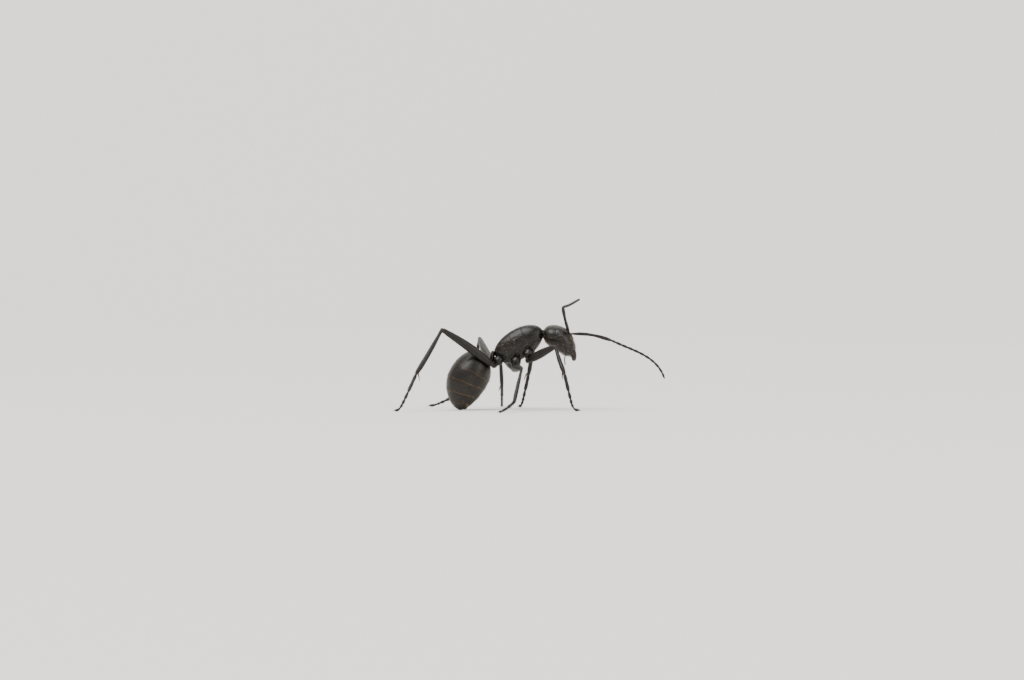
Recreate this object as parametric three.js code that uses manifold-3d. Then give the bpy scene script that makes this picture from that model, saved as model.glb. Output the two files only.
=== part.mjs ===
// A carpenter ant worker at life size, standing on six feet with its gaster lowered to the ground.
// Millimetres, +Z up. The ant faces +X and its left side is +Y. The ground is z = 0, and the origin lies on
// the ground below the middle of the ant's reach.
//
// Every plate is a rounded body: the vertices of a sphere or a capsule moved out to the section that the body
// has at each place along its axis. Neighbouring plates are then parted by a thin open seam.
import * as THREE from 'three';
import { mergeVertices } from 'three/addons/utils/BufferGeometryUtils.js';
import Module from 'manifold-3d';

const wasm = await Module();
wasm.setup();

// ---------------------------------------------------------------- driving dimensions, mm and degrees

const SEAM = 0.05; // open joint between neighbouring plates
const THIN = 0.25; // least radius of a leg or feeler
const SIDES = { body: 20, coxa: 10, small: 12, limb: 8 }; // facets round a section
const RINGS = { body: 14, small: 8 }; // facets along a rounded body

// Points written [x, z] lie in the middle plane, and [x, y, z] on the left side. A swell is how far the skin
// stands off the axis: its greatest size, the share of the axis at which it is reached, and how blunt the
// body is before and after it.
const HEAD = {
  back: [0.98, 6.86],
  middle: [2.85, 6.75],
  mouth: [3.8, 5.0],
  crown: { size: 1.12, peak: 0.44, before: 2.5, after: 1.6 },
  throat: { size: 1.08, peak: 0.45, before: 2.3, after: 2.2 },
  cheek: { size: 1.32, peak: 0.36, before: 2.6, after: 2.8 },
};
const EYE = { at: [2.42, 1.08, 6.86], outward: [-0.1, 1, 0.28], long: 0.4, high: 0.32, deep: 0.24 };
const MANDIBLE = {
  root: [3.5, 0.66, 5.3],
  bend: [3.95, 0.6, 5.0],
  tip: [3.66, 0.29, 4.72],
  radii: [0.32, THIN],
};
const MOUTHPARTS = {
  back: [2.4, 5.3],
  front: [3.5, 4.95],
  swell: { size: 0.3, peak: 0.5, before: 2, after: 2 },
};
const SOCKET = [3.26, 0.5, 6.84]; // where a feeler is hinged to the face

const MESOSOMA = {
  waist: [-3.32, 4.86],
  arch: [-0.75, 6.8],
  neck: [1.02, 6.9],
  back: { size: 1.11, peak: 0.52, before: 2.3, after: 2.1 },
  breast: { size: 1.6, peak: 0.5, before: 2.6, after: 2 },
  flank: { size: 0.92, peak: 0.7, before: 2.2, after: 2.2 },
};
const COLLAR = { from: [0.6, 6.8], to: [1.4, 7.0], radius: 0.36 }; // the neck that enters the head
const MESOSOMA_PLATES = ['propodeum', 'mesonotum', 'pronotum'];
const MESOSOMA_SEAMS = [0.4, 0.64]; // between them, as shares of the length

const PETIOLE = { front: [-3.2, 4.66], rear: [-4.05, 4.2], radius: 0.26 };
const SCALE = {
  foot: [-3.66, 4.2],
  top: [-3.52, 5.34],
  thick: { size: 0.26, peak: 0.35, before: 2, after: 2.4 },
  wide: { size: 0.5, peak: 0.35, before: 2, after: 2.4 },
};

const GASTER = {
  crest: [-4.98, 5.34],
  tip: [-6.56, -0.15],
  hind: { size: 1.88, peak: 0.46, before: 1.9, after: 1.8 },
  belly: { size: 1.86, peak: 0.38, before: 2, after: 1.55 },
  flank: { size: 1.8, peak: 0.42, before: 2.1, after: 1.8 },
};
// Its plates follow one another along a line that leaves the petiole and bends down to the tip.
const GASTER_LINE = { root: [-3.8, 4.5], bend: [-5.58, 4.5] };
const GASTER_SEAMS = [0.34, 0.54, 0.72, 0.87]; // between its five plates, as shares of that line

// Each pair of legs: where the coxa hangs from the body, then each segment's length and end radii. The tarsus
// has one length.
const LEGS = {
  front: {
    root: [-0.2, 0.44, 5.6],
    coxa: [1.1, 0.5, 0.36],
    trochanter: [0.36, 0.28, 0.27],
    femur: [3.4, 0.36, THIN],
    tibia: [2.8, THIN, 0.26],
    tarsus: 3.9,
  },
  middle: {
    root: [-1.26, 0.46, 4.82],
    coxa: [1.2, 0.5, 0.38],
    trochanter: [0.37, 0.33, 0.28],
    femur: [4.0, 0.33, THIN],
    tibia: [3.4, THIN, 0.26],
    tarsus: 3.7,
  },
  hind: {
    root: [-2.75, 0.5, 4.82],
    coxa: [1.0, 0.47, 0.39],
    trochanter: [0.42, 0.3, 0.28],
    femur: [5.68, 0.41, 0.28],
    tibia: [4.75, THIN, 0.26],
    tarsus: 4.5,
  },
};
const TOE = 0.55; // the end of each tarsus that lies along the ground

// Directions as [azimuth, elevation]: azimuth runs from straight ahead round to the leg's own side.
const STANCE = {
  front: { coxa: [131, -74], trochanter: [86, -21] },
  middle: { coxa: [135, -60], trochanter: [98, -12] },
  hind: { coxa: [151, -50], trochanter: [127, 4] },
};
const POSE = {
  front_right: { femur: [37, 24], tibia: [58, -58.5], foot: 38 },
  front_left: { femur: [80, 21], tibia: [115, -66.5], foot: 111 },
  middle_right: { femur: [78.5, 2.5], tibia: [115, -62.5], foot: 110 },
  middle_left: { femur: [108, 18.5], tibia: [83, -64], foot: 90 },
  hind_right: { femur: [166.5, 34.8], tibia: [149, -56.5], foot: 129 },
  hind_left: { femur: [103, 23.5], tibia: [137, -74.5], foot: 150 },
};

// Feelers: the scape's direction and how far it arches up, then the flagellum's first and last direction. A
// curl over 1 keeps most of the turn between those two for the end.
const FEELER = { scape: 4.0, flagellum: 6.2, steps: 12 };
const FEELER_POSE = {
  right: { scape: [99, 38], arch: 0.16, start: [77, 5.5], end: [77, 9], curl: 1 },
  left: { scape: [9.6, -8.6], arch: 0.5, start: [19, -22.4], end: [19, -76], curl: 3.8 },
};

// ---------------------------------------------------------------- helpers

const ant = new THREE.Group();
const bodyCuticle = new THREE.MeshStandardMaterial({ color: 0x17120f, roughness: 0.35, metalness: 0 });
const limbCuticle = new THREE.MeshStandardMaterial({ color: 0x2a1a12, roughness: 0.4, metalness: 0 });
const eyeLens = new THREE.MeshStandardMaterial({ color: 0x0b0b0d, roughness: 0.2, metalness: 0 });

const BOTH_SIDES = [['left', 1], ['right', -1]];
const middle = ([x, z]) => new THREE.Vector3(x, 0, z);
const onSide = ([x, y, z], side) => new THREE.Vector3(x, y * side, z);
const straight = (from, to) => new THREE.LineCurve3(from, to);

// A unit direction from [azimuth, elevation] in degrees, on the left (side 1) or the right (side -1).
function heading([azimuth, elevation], side) {
  const [a, e] = [azimuth, elevation].map(THREE.MathUtils.degToRad);
  return new THREE.Vector3(Math.cos(a) * Math.cos(e), side * Math.sin(a) * Math.cos(e), Math.sin(e));
}

// How far a swell stands off the axis at share t of it: two quarter superellipses that meet at the peak.
function reach({ size, peak, before, after }, t) {
  const [away, power] = t < peak ? [1 - t / peak, before] : [(t - peak) / (1 - peak), after];
  return size * Math.max(1 - away ** power, 0) ** (1 / power);
}

// A closed three.js geometry as a solid that can be cut and joined.
function solidOf(geometry) {
  geometry.deleteAttribute('normal');
  geometry.deleteAttribute('uv');
  const { index, attributes } = mergeVertices(geometry, 1e-4);
  const mesh = new wasm.Mesh({
    numProp: 3,
    vertProperties: attributes.position.array,
    triVerts: index.array,
  });
  return new wasm.Manifold(mesh);
}

// A rounded body along a curve in the middle plane: a sphere whose vertices go out to the swells above, below
// and beside the curve. grow makes it that much larger all over.
function body(curve, { above, below, beside }, { sides = SIDES.body, rings = RINGS.body, grow = 0 } = {}) {
  const geometry = new THREE.SphereGeometry(1, sides, rings);
  const place = geometry.attributes.position;
  const across = new THREE.Vector3(0, 1, 0);
  const point = new THREE.Vector3();
  for (let i = 0; i < place.count; i++) {
    point.fromBufferAttribute(place, i);
    const t = THREE.MathUtils.clamp((1 - point.y) / 2, 0, 1);
    const tangent = curve.getTangentAt(t);
    const up = new THREE.Vector3().crossVectors(tangent, across).normalize();
    const ring = Math.hypot(point.x, point.z) || 1;
    const [side, rise] = [point.x / ring, point.z / ring];
    const height = rise * (reach(rise > 0 ? above : below, t) + grow);
    point.copy(curve.getPointAt(t)).addScaledVector(tangent, -grow * Math.cos(Math.PI * t));
    point.addScaledVector(across, side * (reach(beside, t) + grow)).addScaledVector(up, height);
    place.setXYZ(i, ...point);
  }
  return solidOf(geometry);
}

// A limb along a curve, with round ends centred on the curve's ends: a capsule whose vertices go out to
// radius(t) along the way.
function limb(curve, radius, { sides = SIDES.limb, rings = 2, grow = 0 } = {}) {
  const length = curve.getLength();
  const geometry = new THREE.CapsuleGeometry(1, length, 2, sides, rings);
  const place = geometry.attributes.position;
  const slant = new THREE.Vector3(0.31, 0.17, 0.94).normalize(); // no limb lies along this direction
  const point = new THREE.Vector3();
  for (let i = 0; i < place.count; i++) {
    point.fromBufferAttribute(place, i);
    const t = THREE.MathUtils.clamp(point.y / length + 0.5, 0, 1);
    const beyond = point.y - (t - 0.5) * length;
    const tangent = curve.getTangentAt(t);
    const across = new THREE.Vector3().crossVectors(slant, tangent).normalize();
    const up = new THREE.Vector3().crossVectors(across, tangent);
    const r = radius(t) + grow;
    const [side, rise] = [point.x * r, point.z * r];
    point.copy(curve.getPointAt(t)).addScaledVector(tangent, beyond * r);
    point.addScaledVector(across, side).addScaledVector(up, rise);
    place.setXYZ(i, ...point);
  }
  return solidOf(geometry);
}

const even = (radius) => () => radius;
const taper = ([start, end]) => (t) => THREE.MathUtils.lerp(start, end, t);

// Thickest a third of the way along, as the muscle of a femur is.
const spindle = ([thick, end]) => (t) => (t < 1 / 3
  ? THREE.MathUtils.lerp(0.8 * thick, thick, Math.sin(1.5 * Math.PI * t))
  : THREE.MathUtils.lerp(thick, end, (1.5 * t - 0.5) ** 1.3));

// What is left of a solid behind a plane or ahead of it, half a seam short of the plane.
const behind = (solid, point, normal) =>
  solid.trimByPlane([-normal.x, -normal.y, -normal.z], SEAM / 2 - point.dot(normal));
const ahead = (solid, point, normal) => solid.trimByPlane([...normal], SEAM / 2 + point.dot(normal));
const aboveGround = (solid) => solid.trimByPlane([0, 0, 1], 0);

// Parts one solid into plates by cuts square to a curve, at the given shares of its length.
function partAlong(solid, curve, seams) {
  const at = (share) => [curve.getPointAt(share), curve.getTangentAt(share)];
  return [...seams, 1].map((_, i) => {
    const clear = i > 0 ? ahead(solid, ...at(seams[i - 1])) : solid;
    return i < seams.length ? behind(clear, ...at(seams[i])) : clear;
  });
}

// Parts a row of limb segments at their joints: each is cut by the plane that halves the bend.
function partAtJoints(segments) {
  const halving = (i) => {
    const into = segments[i].curve.getTangentAt(1);
    return into.add(segments[i + 1].curve.getTangentAt(0)).normalize();
  };
  return segments.map(({ solid, curve }, i) => {
    const clear = i > 0 ? ahead(solid, curve.getPointAt(0), halving(i - 1)) : solid;
    return i < segments.length - 1 ? behind(clear, curve.getPointAt(1), halving(i)) : clear;
  });
}

function add(name, solid, material = bodyCuticle) {
  const { vertProperties, triVerts } = solid.getMesh();
  const geometry = new THREE.BufferGeometry();
  geometry.setAttribute('position', new THREE.BufferAttribute(vertProperties, 3));
  geometry.setIndex(new THREE.BufferAttribute(triVerts, 1));
  const mesh = new THREE.Mesh(geometry, material);
  mesh.name = name;
  ant.add(mesh);
}

// ---------------------------------------------------------------- head

const headAxis = new THREE.QuadraticBezierCurve3(middle(HEAD.back), middle(HEAD.middle), middle(HEAD.mouth));
const headShape = { above: HEAD.crown, below: HEAD.throat, beside: HEAD.cheek };
const headSpace = body(headAxis, headShape, { grow: SEAM });
const neckLine = straight(middle(COLLAR.from), middle(COLLAR.to));

function eyeSolid(side, grow) {
  const facing = middle(HEAD.mouth).sub(middle(HEAD.back)).normalize();
  const outward = onSide(EYE.outward, side).normalize();
  const along = facing.addScaledVector(outward, -facing.dot(outward)).normalize();
  const high = new THREE.Vector3().crossVectors(outward, along);
  const place = new THREE.Matrix4().makeBasis(along, high, outward);
  place.scale(new THREE.Vector3(EYE.long + grow, EYE.high + grow, EYE.deep + grow));
  place.setPosition(onSide(EYE.at, side));
  return solidOf(new THREE.SphereGeometry(1, SIDES.small, RINGS.small).applyMatrix4(place));
}

function makeHead() {
  let capsule = body(headAxis, headShape).subtract(limb(neckLine, even(COLLAR.radius), { grow: SEAM }));
  for (const [name, side] of BOTH_SIDES) {
    capsule = capsule.subtract(eyeSolid(side, SEAM));
    add(`eye_${name}`, eyeSolid(side, 0), eyeLens);
    const jaw = ['root', 'bend', 'tip'].map((end) => onSide(MANDIBLE[end], side));
    const mandible = limb(new THREE.QuadraticBezierCurve3(...jaw), taper(MANDIBLE.radii), { rings: 4 });
    add(`mandible_${name}`, mandible.subtract(headSpace), limbCuticle);
  }
  add('head', capsule);
  const { swell } = MOUTHPARTS;
  const line = straight(middle(MOUTHPARTS.back), middle(MOUTHPARTS.front));
  const shape = { above: swell, below: swell, beside: swell };
  const mouthparts = body(line, shape, { sides: SIDES.small, rings: RINGS.small });
  add('mouthparts', mouthparts.subtract(headSpace), limbCuticle);
}

// ---------------------------------------------------------------- mesosoma

const mesosomaAxis = new THREE.QuadraticBezierCurve3(
  middle(MESOSOMA.waist),
  middle(MESOSOMA.arch),
  middle(MESOSOMA.neck),
);
const mesosomaShape = { above: MESOSOMA.back, below: MESOSOMA.breast, beside: MESOSOMA.flank };
const mesosomaSpace = body(mesosomaAxis, mesosomaShape, { grow: SEAM });

function makeMesosoma() {
  const whole = body(mesosomaAxis, mesosomaShape).add(limb(neckLine, even(COLLAR.radius)));
  const plates = partAlong(whole, mesosomaAxis, MESOSOMA_SEAMS);
  plates.forEach((plate, i) => add(MESOSOMA_PLATES[i], plate));
}

// ---------------------------------------------------------------- gaster and petiole

const gasterAxis = straight(middle(GASTER.crest), middle(GASTER.tip));
const gasterShape = { above: GASTER.belly, below: GASTER.hind, beside: GASTER.flank };
const gasterSpace = body(gasterAxis, gasterShape, { grow: SEAM });

function makeGaster() {
  const { root, bend } = GASTER_LINE;
  const line = new THREE.QuadraticBezierCurve3(middle(root), middle(bend), middle(GASTER.tip));
  const plates = partAlong(aboveGround(body(gasterAxis, gasterShape)), line, GASTER_SEAMS);
  plates.forEach((plate, i) => add(`gaster_${i + 1}`, plate));
}

function makePetiole() {
  const stalk = limb(straight(middle(PETIOLE.front), middle(PETIOLE.rear)), even(PETIOLE.radius));
  const shape = { above: SCALE.thick, below: SCALE.thick, beside: SCALE.wide };
  const line = straight(middle(SCALE.foot), middle(SCALE.top));
  const scale = body(line, shape, { sides: SIDES.small, rings: RINGS.small });
  add('petiole', stalk.add(scale).subtract(mesosomaSpace).subtract(gasterSpace));
}

// ---------------------------------------------------------------- feelers

function flagellumLine(from, { start, end, curl }, side) {
  const points = [from.clone()];
  for (let i = 0; i < FEELER.steps; i++) {
    const turned = ((i + 0.5) / FEELER.steps) ** curl;
    const way = start.map((angle, k) => THREE.MathUtils.lerp(angle, end[k], turned));
    const step = heading(way, side).multiplyScalar(FEELER.flagellum / FEELER.steps);
    points.push(points[i].clone().add(step));
  }
  return new THREE.CatmullRomCurve3(points);
}

function makeFeeler(name, side) {
  const pose = FEELER_POSE[name];
  const socket = onSide(SOCKET, side);
  const elbow = socket.clone().addScaledVector(heading(pose.scape, side), FEELER.scape);
  const crest = socket.clone().lerp(elbow, 0.5).add(new THREE.Vector3(0, 0, pose.arch));
  const scape = new THREE.QuadraticBezierCurve3(socket, crest, elbow);
  const flagellum = flagellumLine(elbow, pose, side);
  const solids = partAtJoints([
    { curve: scape, solid: limb(scape, even(THIN), { rings: 5 }).subtract(headSpace) },
    { curve: flagellum, solid: limb(flagellum, even(THIN), { rings: FEELER.steps - 1 }) },
  ]);
  add(`scape_${name}`, solids[0], limbCuticle);
  add(`flagellum_${name}`, solids[1], limbCuticle);
}

// ---------------------------------------------------------------- legs

// The tarsus reaches straight down to the ground and then lies along it for a toe's length.
function tarsusLine(ankle, length, azimuth, side) {
  const sole = 0.9 * THIN; // a little low, so that the ground cuts a flat
  const [along, sag] = [0.6, 0.05]; // where the tarsus sags before the heel, and how far
  const drop = ankle.z - sole;
  const out = Math.sqrt(Math.max((length - TOE) ** 2 - drop ** 2, 0));
  const level = heading([azimuth, 0], side);
  const heel = ankle.clone().addScaledVector(level, out).setZ(sole);
  const bend = ankle.clone().lerp(heel, along).add(new THREE.Vector3(0, 0, -sag));
  const tip = heel.clone().addScaledVector(level, TOE);
  return new THREE.CatmullRomCurve3([ankle, bend, heel, tip], false, 'centripetal');
}

const SEGMENTS = {
  coxa: { profile: taper, sides: SIDES.coxa, rings: 2, material: bodyCuticle },
  trochanter: { profile: taper, sides: SIDES.limb, rings: 2, material: limbCuticle },
  femur: { profile: spindle, sides: SIDES.limb, rings: 5, material: limbCuticle },
  tibia: { profile: taper, sides: SIDES.limb, rings: 2, material: limbCuticle },
};

function makeLeg(pair, name, side) {
  const size = LEGS[pair];
  const pose = { ...STANCE[pair], ...POSE[`${pair}_${name}`] };
  let joint = onSide(size.root, side);
  const segments = Object.entries(SEGMENTS).map(([part, { profile, material, ...facets }]) => {
    const [length, ...radii] = size[part];
    const next = joint.clone().addScaledVector(heading(pose[part], side), length);
    const curve = straight(joint, next);
    joint = next;
    return { part, curve, solid: limb(curve, profile(radii), facets), material };
  });
  const curve = tarsusLine(joint, size.tarsus, pose.foot, side);
  const tarsus = aboveGround(limb(curve, even(THIN), { rings: 8 }));
  segments.push({ part: 'tarsus', curve, solid: tarsus, material: limbCuticle });
  partAtJoints(segments).forEach((solid, i) => {
    const { part, material } = segments[i];
    add(`${part}_${pair}_${name}`, solid.subtract(mesosomaSpace), material);
  });
}

// ---------------------------------------------------------------- the ant

makeHead();
makeMesosoma();
makePetiole();
makeGaster();
for (const [name, side] of BOTH_SIDES) {
  makeFeeler(name, side);
  for (const pair of Object.keys(LEGS)) makeLeg(pair, name, side);
}

export default ant;
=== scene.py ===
"""Looks of a life-size carpenter ant, a still museum model standing on a level floor.

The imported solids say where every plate, limb and joint lies, and this script dresses them: plates, limb
segments, eyes, jaws, claws, joint membranes and two coats of hair. Each piece is modelled in millimetres in
the model's own frame (+X the way the ant faces, +Y its left, +Z up) and brought to metres when it is finished.
"""

import logging
import math
from collections.abc import Callable, Iterator
from contextlib import contextmanager
from dataclasses import dataclass, field
from enum import Enum
from functools import cached_property

import bmesh
import bpy
import numpy as np
from mathutils import Matrix, Vector
from mathutils.bvhtree import BVHTree


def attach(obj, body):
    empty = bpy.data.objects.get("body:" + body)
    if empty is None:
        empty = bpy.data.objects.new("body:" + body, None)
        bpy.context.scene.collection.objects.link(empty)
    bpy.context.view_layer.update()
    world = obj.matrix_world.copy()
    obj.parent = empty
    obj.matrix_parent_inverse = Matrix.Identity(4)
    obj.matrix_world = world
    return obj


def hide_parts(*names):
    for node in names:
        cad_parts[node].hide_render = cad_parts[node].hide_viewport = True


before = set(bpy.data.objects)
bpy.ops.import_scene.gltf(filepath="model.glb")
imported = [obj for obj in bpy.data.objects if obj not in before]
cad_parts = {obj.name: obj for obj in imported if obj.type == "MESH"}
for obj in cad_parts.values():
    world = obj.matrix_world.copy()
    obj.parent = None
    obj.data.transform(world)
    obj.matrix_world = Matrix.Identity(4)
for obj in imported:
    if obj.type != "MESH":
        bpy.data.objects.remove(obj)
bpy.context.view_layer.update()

MM = 0.001  # metres in a millimetre
UPRIGHT = math.pi / 2
UP = Vector((0, 0, 1))
Mesh = bpy.types.Object
Where = Callable[[Vector], bool]

log = logging.getLogger("ant")


class Side(Enum):
    """The ant's own sides, each with the sign of Y there."""

    LEFT = 1
    RIGHT = -1


class Pair(Enum):
    """Pairs of legs."""

    FRONT = "front"
    MIDDLE = "middle"
    HIND = "hind"


# ---------------------------------------------------------------- where the solids lie


@dataclass(frozen=True)
class Seam:
    """The place where two solids face each other.

    Attributes:
        centre: Middle of the two faces, in mm.
        normal: Unit normal of the cut between them, from the first solid to the second.
    """

    centre: Vector
    normal: Vector


def corners(node: str) -> np.ndarray:
    """Corners of a solid, each once, in mm.

    Args:
        node: Name of the solid.

    Returns:
        One row of x, y, z for each corner.
    """
    points = [vertex.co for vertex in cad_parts[node].data.vertices]
    return np.unique(np.round(np.array(points) / MM, 4), axis=0)


def facing(node: str, other: str) -> np.ndarray:
    """Corners of a solid that lie on the face it turns to another.

    Args:
        node: Name of the solid.
        other: Name of its neighbour.

    Returns:
        One row of x, y, z for each of those corners, in mm.
    """
    reach = 0.1  # mm, twice the open seam between solids
    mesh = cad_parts[other].data
    tree = BVHTree.FromPolygons([v.co / MM for v in mesh.vertices], [p.vertices for p in mesh.polygons])
    return np.array([p for p in corners(node) if tree.find_nearest(p, reach)[0] is not None])


def seam(first: str, second: str) -> Seam:
    """Finds the place where two solids face each other.

    Args:
        first: Name of the solid nearer to the body, or further forward along a row of plates.
        second: Name of its neighbour.

    Returns:
        The seam between them.
    """
    near = [facing(first, second), facing(second, first)]
    points = np.concatenate(near)
    centre = (near[0].mean(axis=0) + near[1].mean(axis=0)) / 2
    normal = np.linalg.svd(points - centre)[2][2]
    if normal @ (corners(second).mean(axis=0) - corners(first).mean(axis=0)) < 0:
        normal = -normal
    return Seam(Vector(centre), Vector(normal))


def centreline(node: str, start: Vector, end_radius: float) -> list[Vector]:
    """Follows the middle of a bent tube, as a smooth line fitted through its corners.

    Args:
        node: Name of the tube's solid.
        start: The end of the tube at which the line starts, in mm.
        end_radius: Radius of the tube's round far end, in mm.

    Returns:
        Points along the middle, in mm, evenly spread.
    """
    points = corners(node)
    chord = np.linalg.svd(points - points.mean(axis=0))[2][0]
    chord *= np.sign(chord @ (points.mean(axis=0) - np.array(start)))
    along = (points - np.array(start)) @ chord
    along /= along.max()
    shares = np.linspace(0, 1, 65)
    for _ in range(6):  # the line is fitted anew as each corner finds its own place along it
        line = np.stack([np.polyval(column, shares) for column in np.polyfit(along, points, 3).T], axis=1)
        walked = np.concatenate([[0], np.cumsum(np.linalg.norm(np.diff(line, axis=0), axis=1))])
        nearest = np.argmin(np.linalg.norm(points[:, None] - line[None], axis=2), axis=1)
        along = walked[nearest] / walked[-1]
    kept = walked <= walked[-1] - end_radius
    line[0] = start
    return [Vector(point) for point in line[kept]]


def part_way(points: list[Vector], share: float) -> Vector:
    """Walks along a line of points.

    Args:
        points: The line.
        share: How far to go, as a share of its length.

    Returns:
        The point reached.
    """
    lengths = np.cumsum([0.0] + [(b - a).length for a, b in zip(points, points[1:])])
    whole = np.array([tuple(p) for p in points])
    return Vector([np.interp(share * lengths[-1], lengths, whole[:, k]) for k in range(3)])


# ---------------------------------------------------------------- modelling


@contextmanager
def editing(piece: Mesh) -> Iterator[None]:
    """Opens one piece in edit mode with nothing selected, and leaves edit mode afterwards."""
    choose(piece)
    bpy.ops.object.mode_set(mode="EDIT")
    bpy.ops.mesh.select_all(action="DESELECT")
    yield
    bpy.ops.object.mode_set(mode="OBJECT")


def choose(*pieces: Mesh) -> None:
    """Selects some objects and nothing else, and makes the first one active."""
    bpy.ops.object.select_all(action="DESELECT")
    for piece in pieces:
        piece.select_set(True)
    bpy.context.view_layer.objects.active = pieces[0]


def pick(piece: Mesh, wanted: Where) -> None:
    """Selects the vertices of the piece being edited whose place is wanted, and no others."""
    mesh = bmesh.from_edit_mesh(piece.data)
    for vertex in mesh.verts:
        vertex.select_set(wanted(vertex.co))
    mesh.select_flush(True)
    bmesh.update_edit_mesh(piece.data)


def apply(piece: Mesh, kind: str, **settings: object) -> None:
    """Adds a modifier to a piece and applies it.

    Args:
        piece: The piece.
        kind: Blender's name for the kind of modifier.
        **settings: The modifier's own settings.
    """
    choose(piece)
    modifier = piece.modifiers.new(kind.lower(), kind)
    for name, value in settings.items():
        setattr(modifier, name, value)
    bpy.ops.object.modifier_apply(modifier=modifier.name)


def smooth_out(piece: Mesh, levels: int = 1) -> None:
    """Rounds a piece by subdivision."""
    apply(piece, "SUBSURF", levels=levels, render_levels=levels)


def fuse(piece: Mesh, grain: float, rounds: int = 4) -> None:
    """Melts overlapping forms into one skin and softens where they meet.

    Args:
        piece: The piece that holds the forms.
        grain: Size of the new skin's faces, in mm.
        rounds: How often the skin is relaxed.
    """
    apply(piece, "REMESH", mode="VOXEL", voxel_size=grain)
    apply(piece, "SMOOTH", factor=0.5, iterations=rounds)


def carve(piece: Mesh, cutter: Mesh, operation: str = "DIFFERENCE") -> None:
    """Cuts a piece with another, which is used up."""
    apply(piece, "BOOLEAN", object=cutter, operation=operation, solver="EXACT")
    bpy.data.objects.remove(cutter)


def copy_of(piece: Mesh, name: str) -> Mesh:
    """Copies a piece together with its mesh."""
    choose(piece)
    bpy.ops.object.duplicate()
    made = bpy.context.object
    made.name = name
    return made


def joined(name: str, pieces: list[Mesh]) -> Mesh:
    """Joins pieces into one object under a name."""
    choose(*pieces)
    if len(pieces) > 1:
        bpy.ops.object.join()
    pieces[0].name = name
    return pieces[0]


def seat(piece: Mesh, origin: Vector, along: Vector, up: Vector = UP) -> Mesh:
    """Sets a piece in its place.

    Args:
        piece: The piece, modelled at the origin along +X.
        origin: Where its own origin goes, in mm.
        along: Where its +X points.
        up: Where its +Z points, as nearly as the first direction allows.

    Returns:
        The piece.
    """
    ahead = along.normalized()
    left = up.cross(ahead).normalized()
    turned = Matrix((ahead, left, ahead.cross(left))).transposed().to_4x4()
    choose(piece)
    piece.matrix_world = Matrix.Translation(origin) @ turned
    bpy.ops.object.transform_apply(location=True, rotation=True, scale=True)
    return piece


def ball(name: str, centre: Vector, size: tuple[float, float, float] | float, detail: int = 3) -> Mesh:
    """Adds an ellipsoid lined up with the axes.

    Args:
        name: Name of the object.
        centre: Its middle, in mm.
        size: Its three half sizes, or its radius, in mm.
        detail: Subdivisions of the icosphere.

    Returns:
        The ellipsoid.
    """
    bpy.ops.object.select_all(action="DESELECT")
    bpy.ops.mesh.primitive_ico_sphere_add(subdivisions=detail, radius=1, location=centre)
    made = bpy.context.object
    made.name = name
    made.scale = size if isinstance(size, tuple) else (size, size, size)
    bpy.ops.object.transform_apply(location=True, rotation=True, scale=True)
    return made


def cord(name: str, points: list[Vector], radius: float, taper: float = 0.35, ring: bool = False) -> Mesh:
    """Makes a round closed tube along a line, thinner towards its ends.

    Args:
        name: Name of the object.
        points: The line, in mm.
        radius: Its radius half way, in mm.
        taper: Its radius at the ends as a share of that.
        ring: Whether the line closes on itself.

    Returns:
        The tube.
    """
    curve = bpy.data.curves.new(name, "CURVE")
    curve.dimensions, curve.bevel_depth, curve.bevel_resolution, curve.use_fill_caps = "3D", 1.0, 2, True
    spline = curve.splines.new("POLY")
    spline.points.add(len(points) - 1)
    spline.use_cyclic_u = ring
    for k, (knot, point) in enumerate(zip(spline.points, points)):
        knot.co = (*point, 1.0)
        full = 1.0 if ring else taper + (1 - taper) * math.sin(math.pi * k / (len(points) - 1)) ** 0.5
        knot.radius = radius * full
    made = bpy.data.objects.new(name, curve)
    bpy.context.scene.collection.objects.link(made)
    choose(made)
    bpy.ops.object.convert(target="MESH")
    return bpy.context.object


def torus(radius: float, thick: float, flat: float = 1.0) -> Mesh:
    """Adds a ring round +Z at the origin.

    Args:
        radius: Radius of its middle line, in mm.
        thick: Radius of the tube, in mm.
        flat: Its length along +X as a share of its width.

    Returns:
        The ring.
    """
    bpy.ops.object.select_all(action="DESELECT")
    bpy.ops.mesh.primitive_torus_add(
        major_segments=36, minor_segments=12, major_radius=radius, minor_radius=thick
    )
    made = bpy.context.object
    made.scale = (flat, 1.0, 1.0)
    bpy.ops.object.transform_apply(location=True, rotation=True, scale=True)
    return made


def through(knots: tuple[tuple[float, float], ...], share: float) -> float:
    """Reads a smooth curve that passes through a few knots.

    Args:
        knots: Pairs of place and value, in order of place.
        share: Where to read the curve.

    Returns:
        The value there.
    """
    places, values = (np.array(column) for column in zip(*knots))
    slopes = np.gradient(values, places)
    i = int(np.clip(np.searchsorted(places, share) - 1, 0, len(knots) - 2))
    step = places[i + 1] - places[i]
    s = (share - places[i]) / step
    hermite = ((1 + 2 * s) * (1 - s) ** 2, s * (1 - s) ** 2 * step, s * s * (3 - 2 * s), s * s * (s - 1) * step)
    return float(np.dot(hermite, (values[i], slopes[i], values[i + 1], slopes[i + 1])))


@dataclass(frozen=True)
class Ring:
    """One ring of a skin that is drawn out along a line in the XZ plane.

    Attributes:
        x: Place of its middle, in mm.
        z: Height of its middle, in mm.
        pitch: How far the line climbs there, in radians above +X.
        high: Half size across the line, in the XZ plane.
        wide: Half size along Y.
    """

    x: float
    z: float
    pitch: float
    high: float
    wide: float


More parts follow.
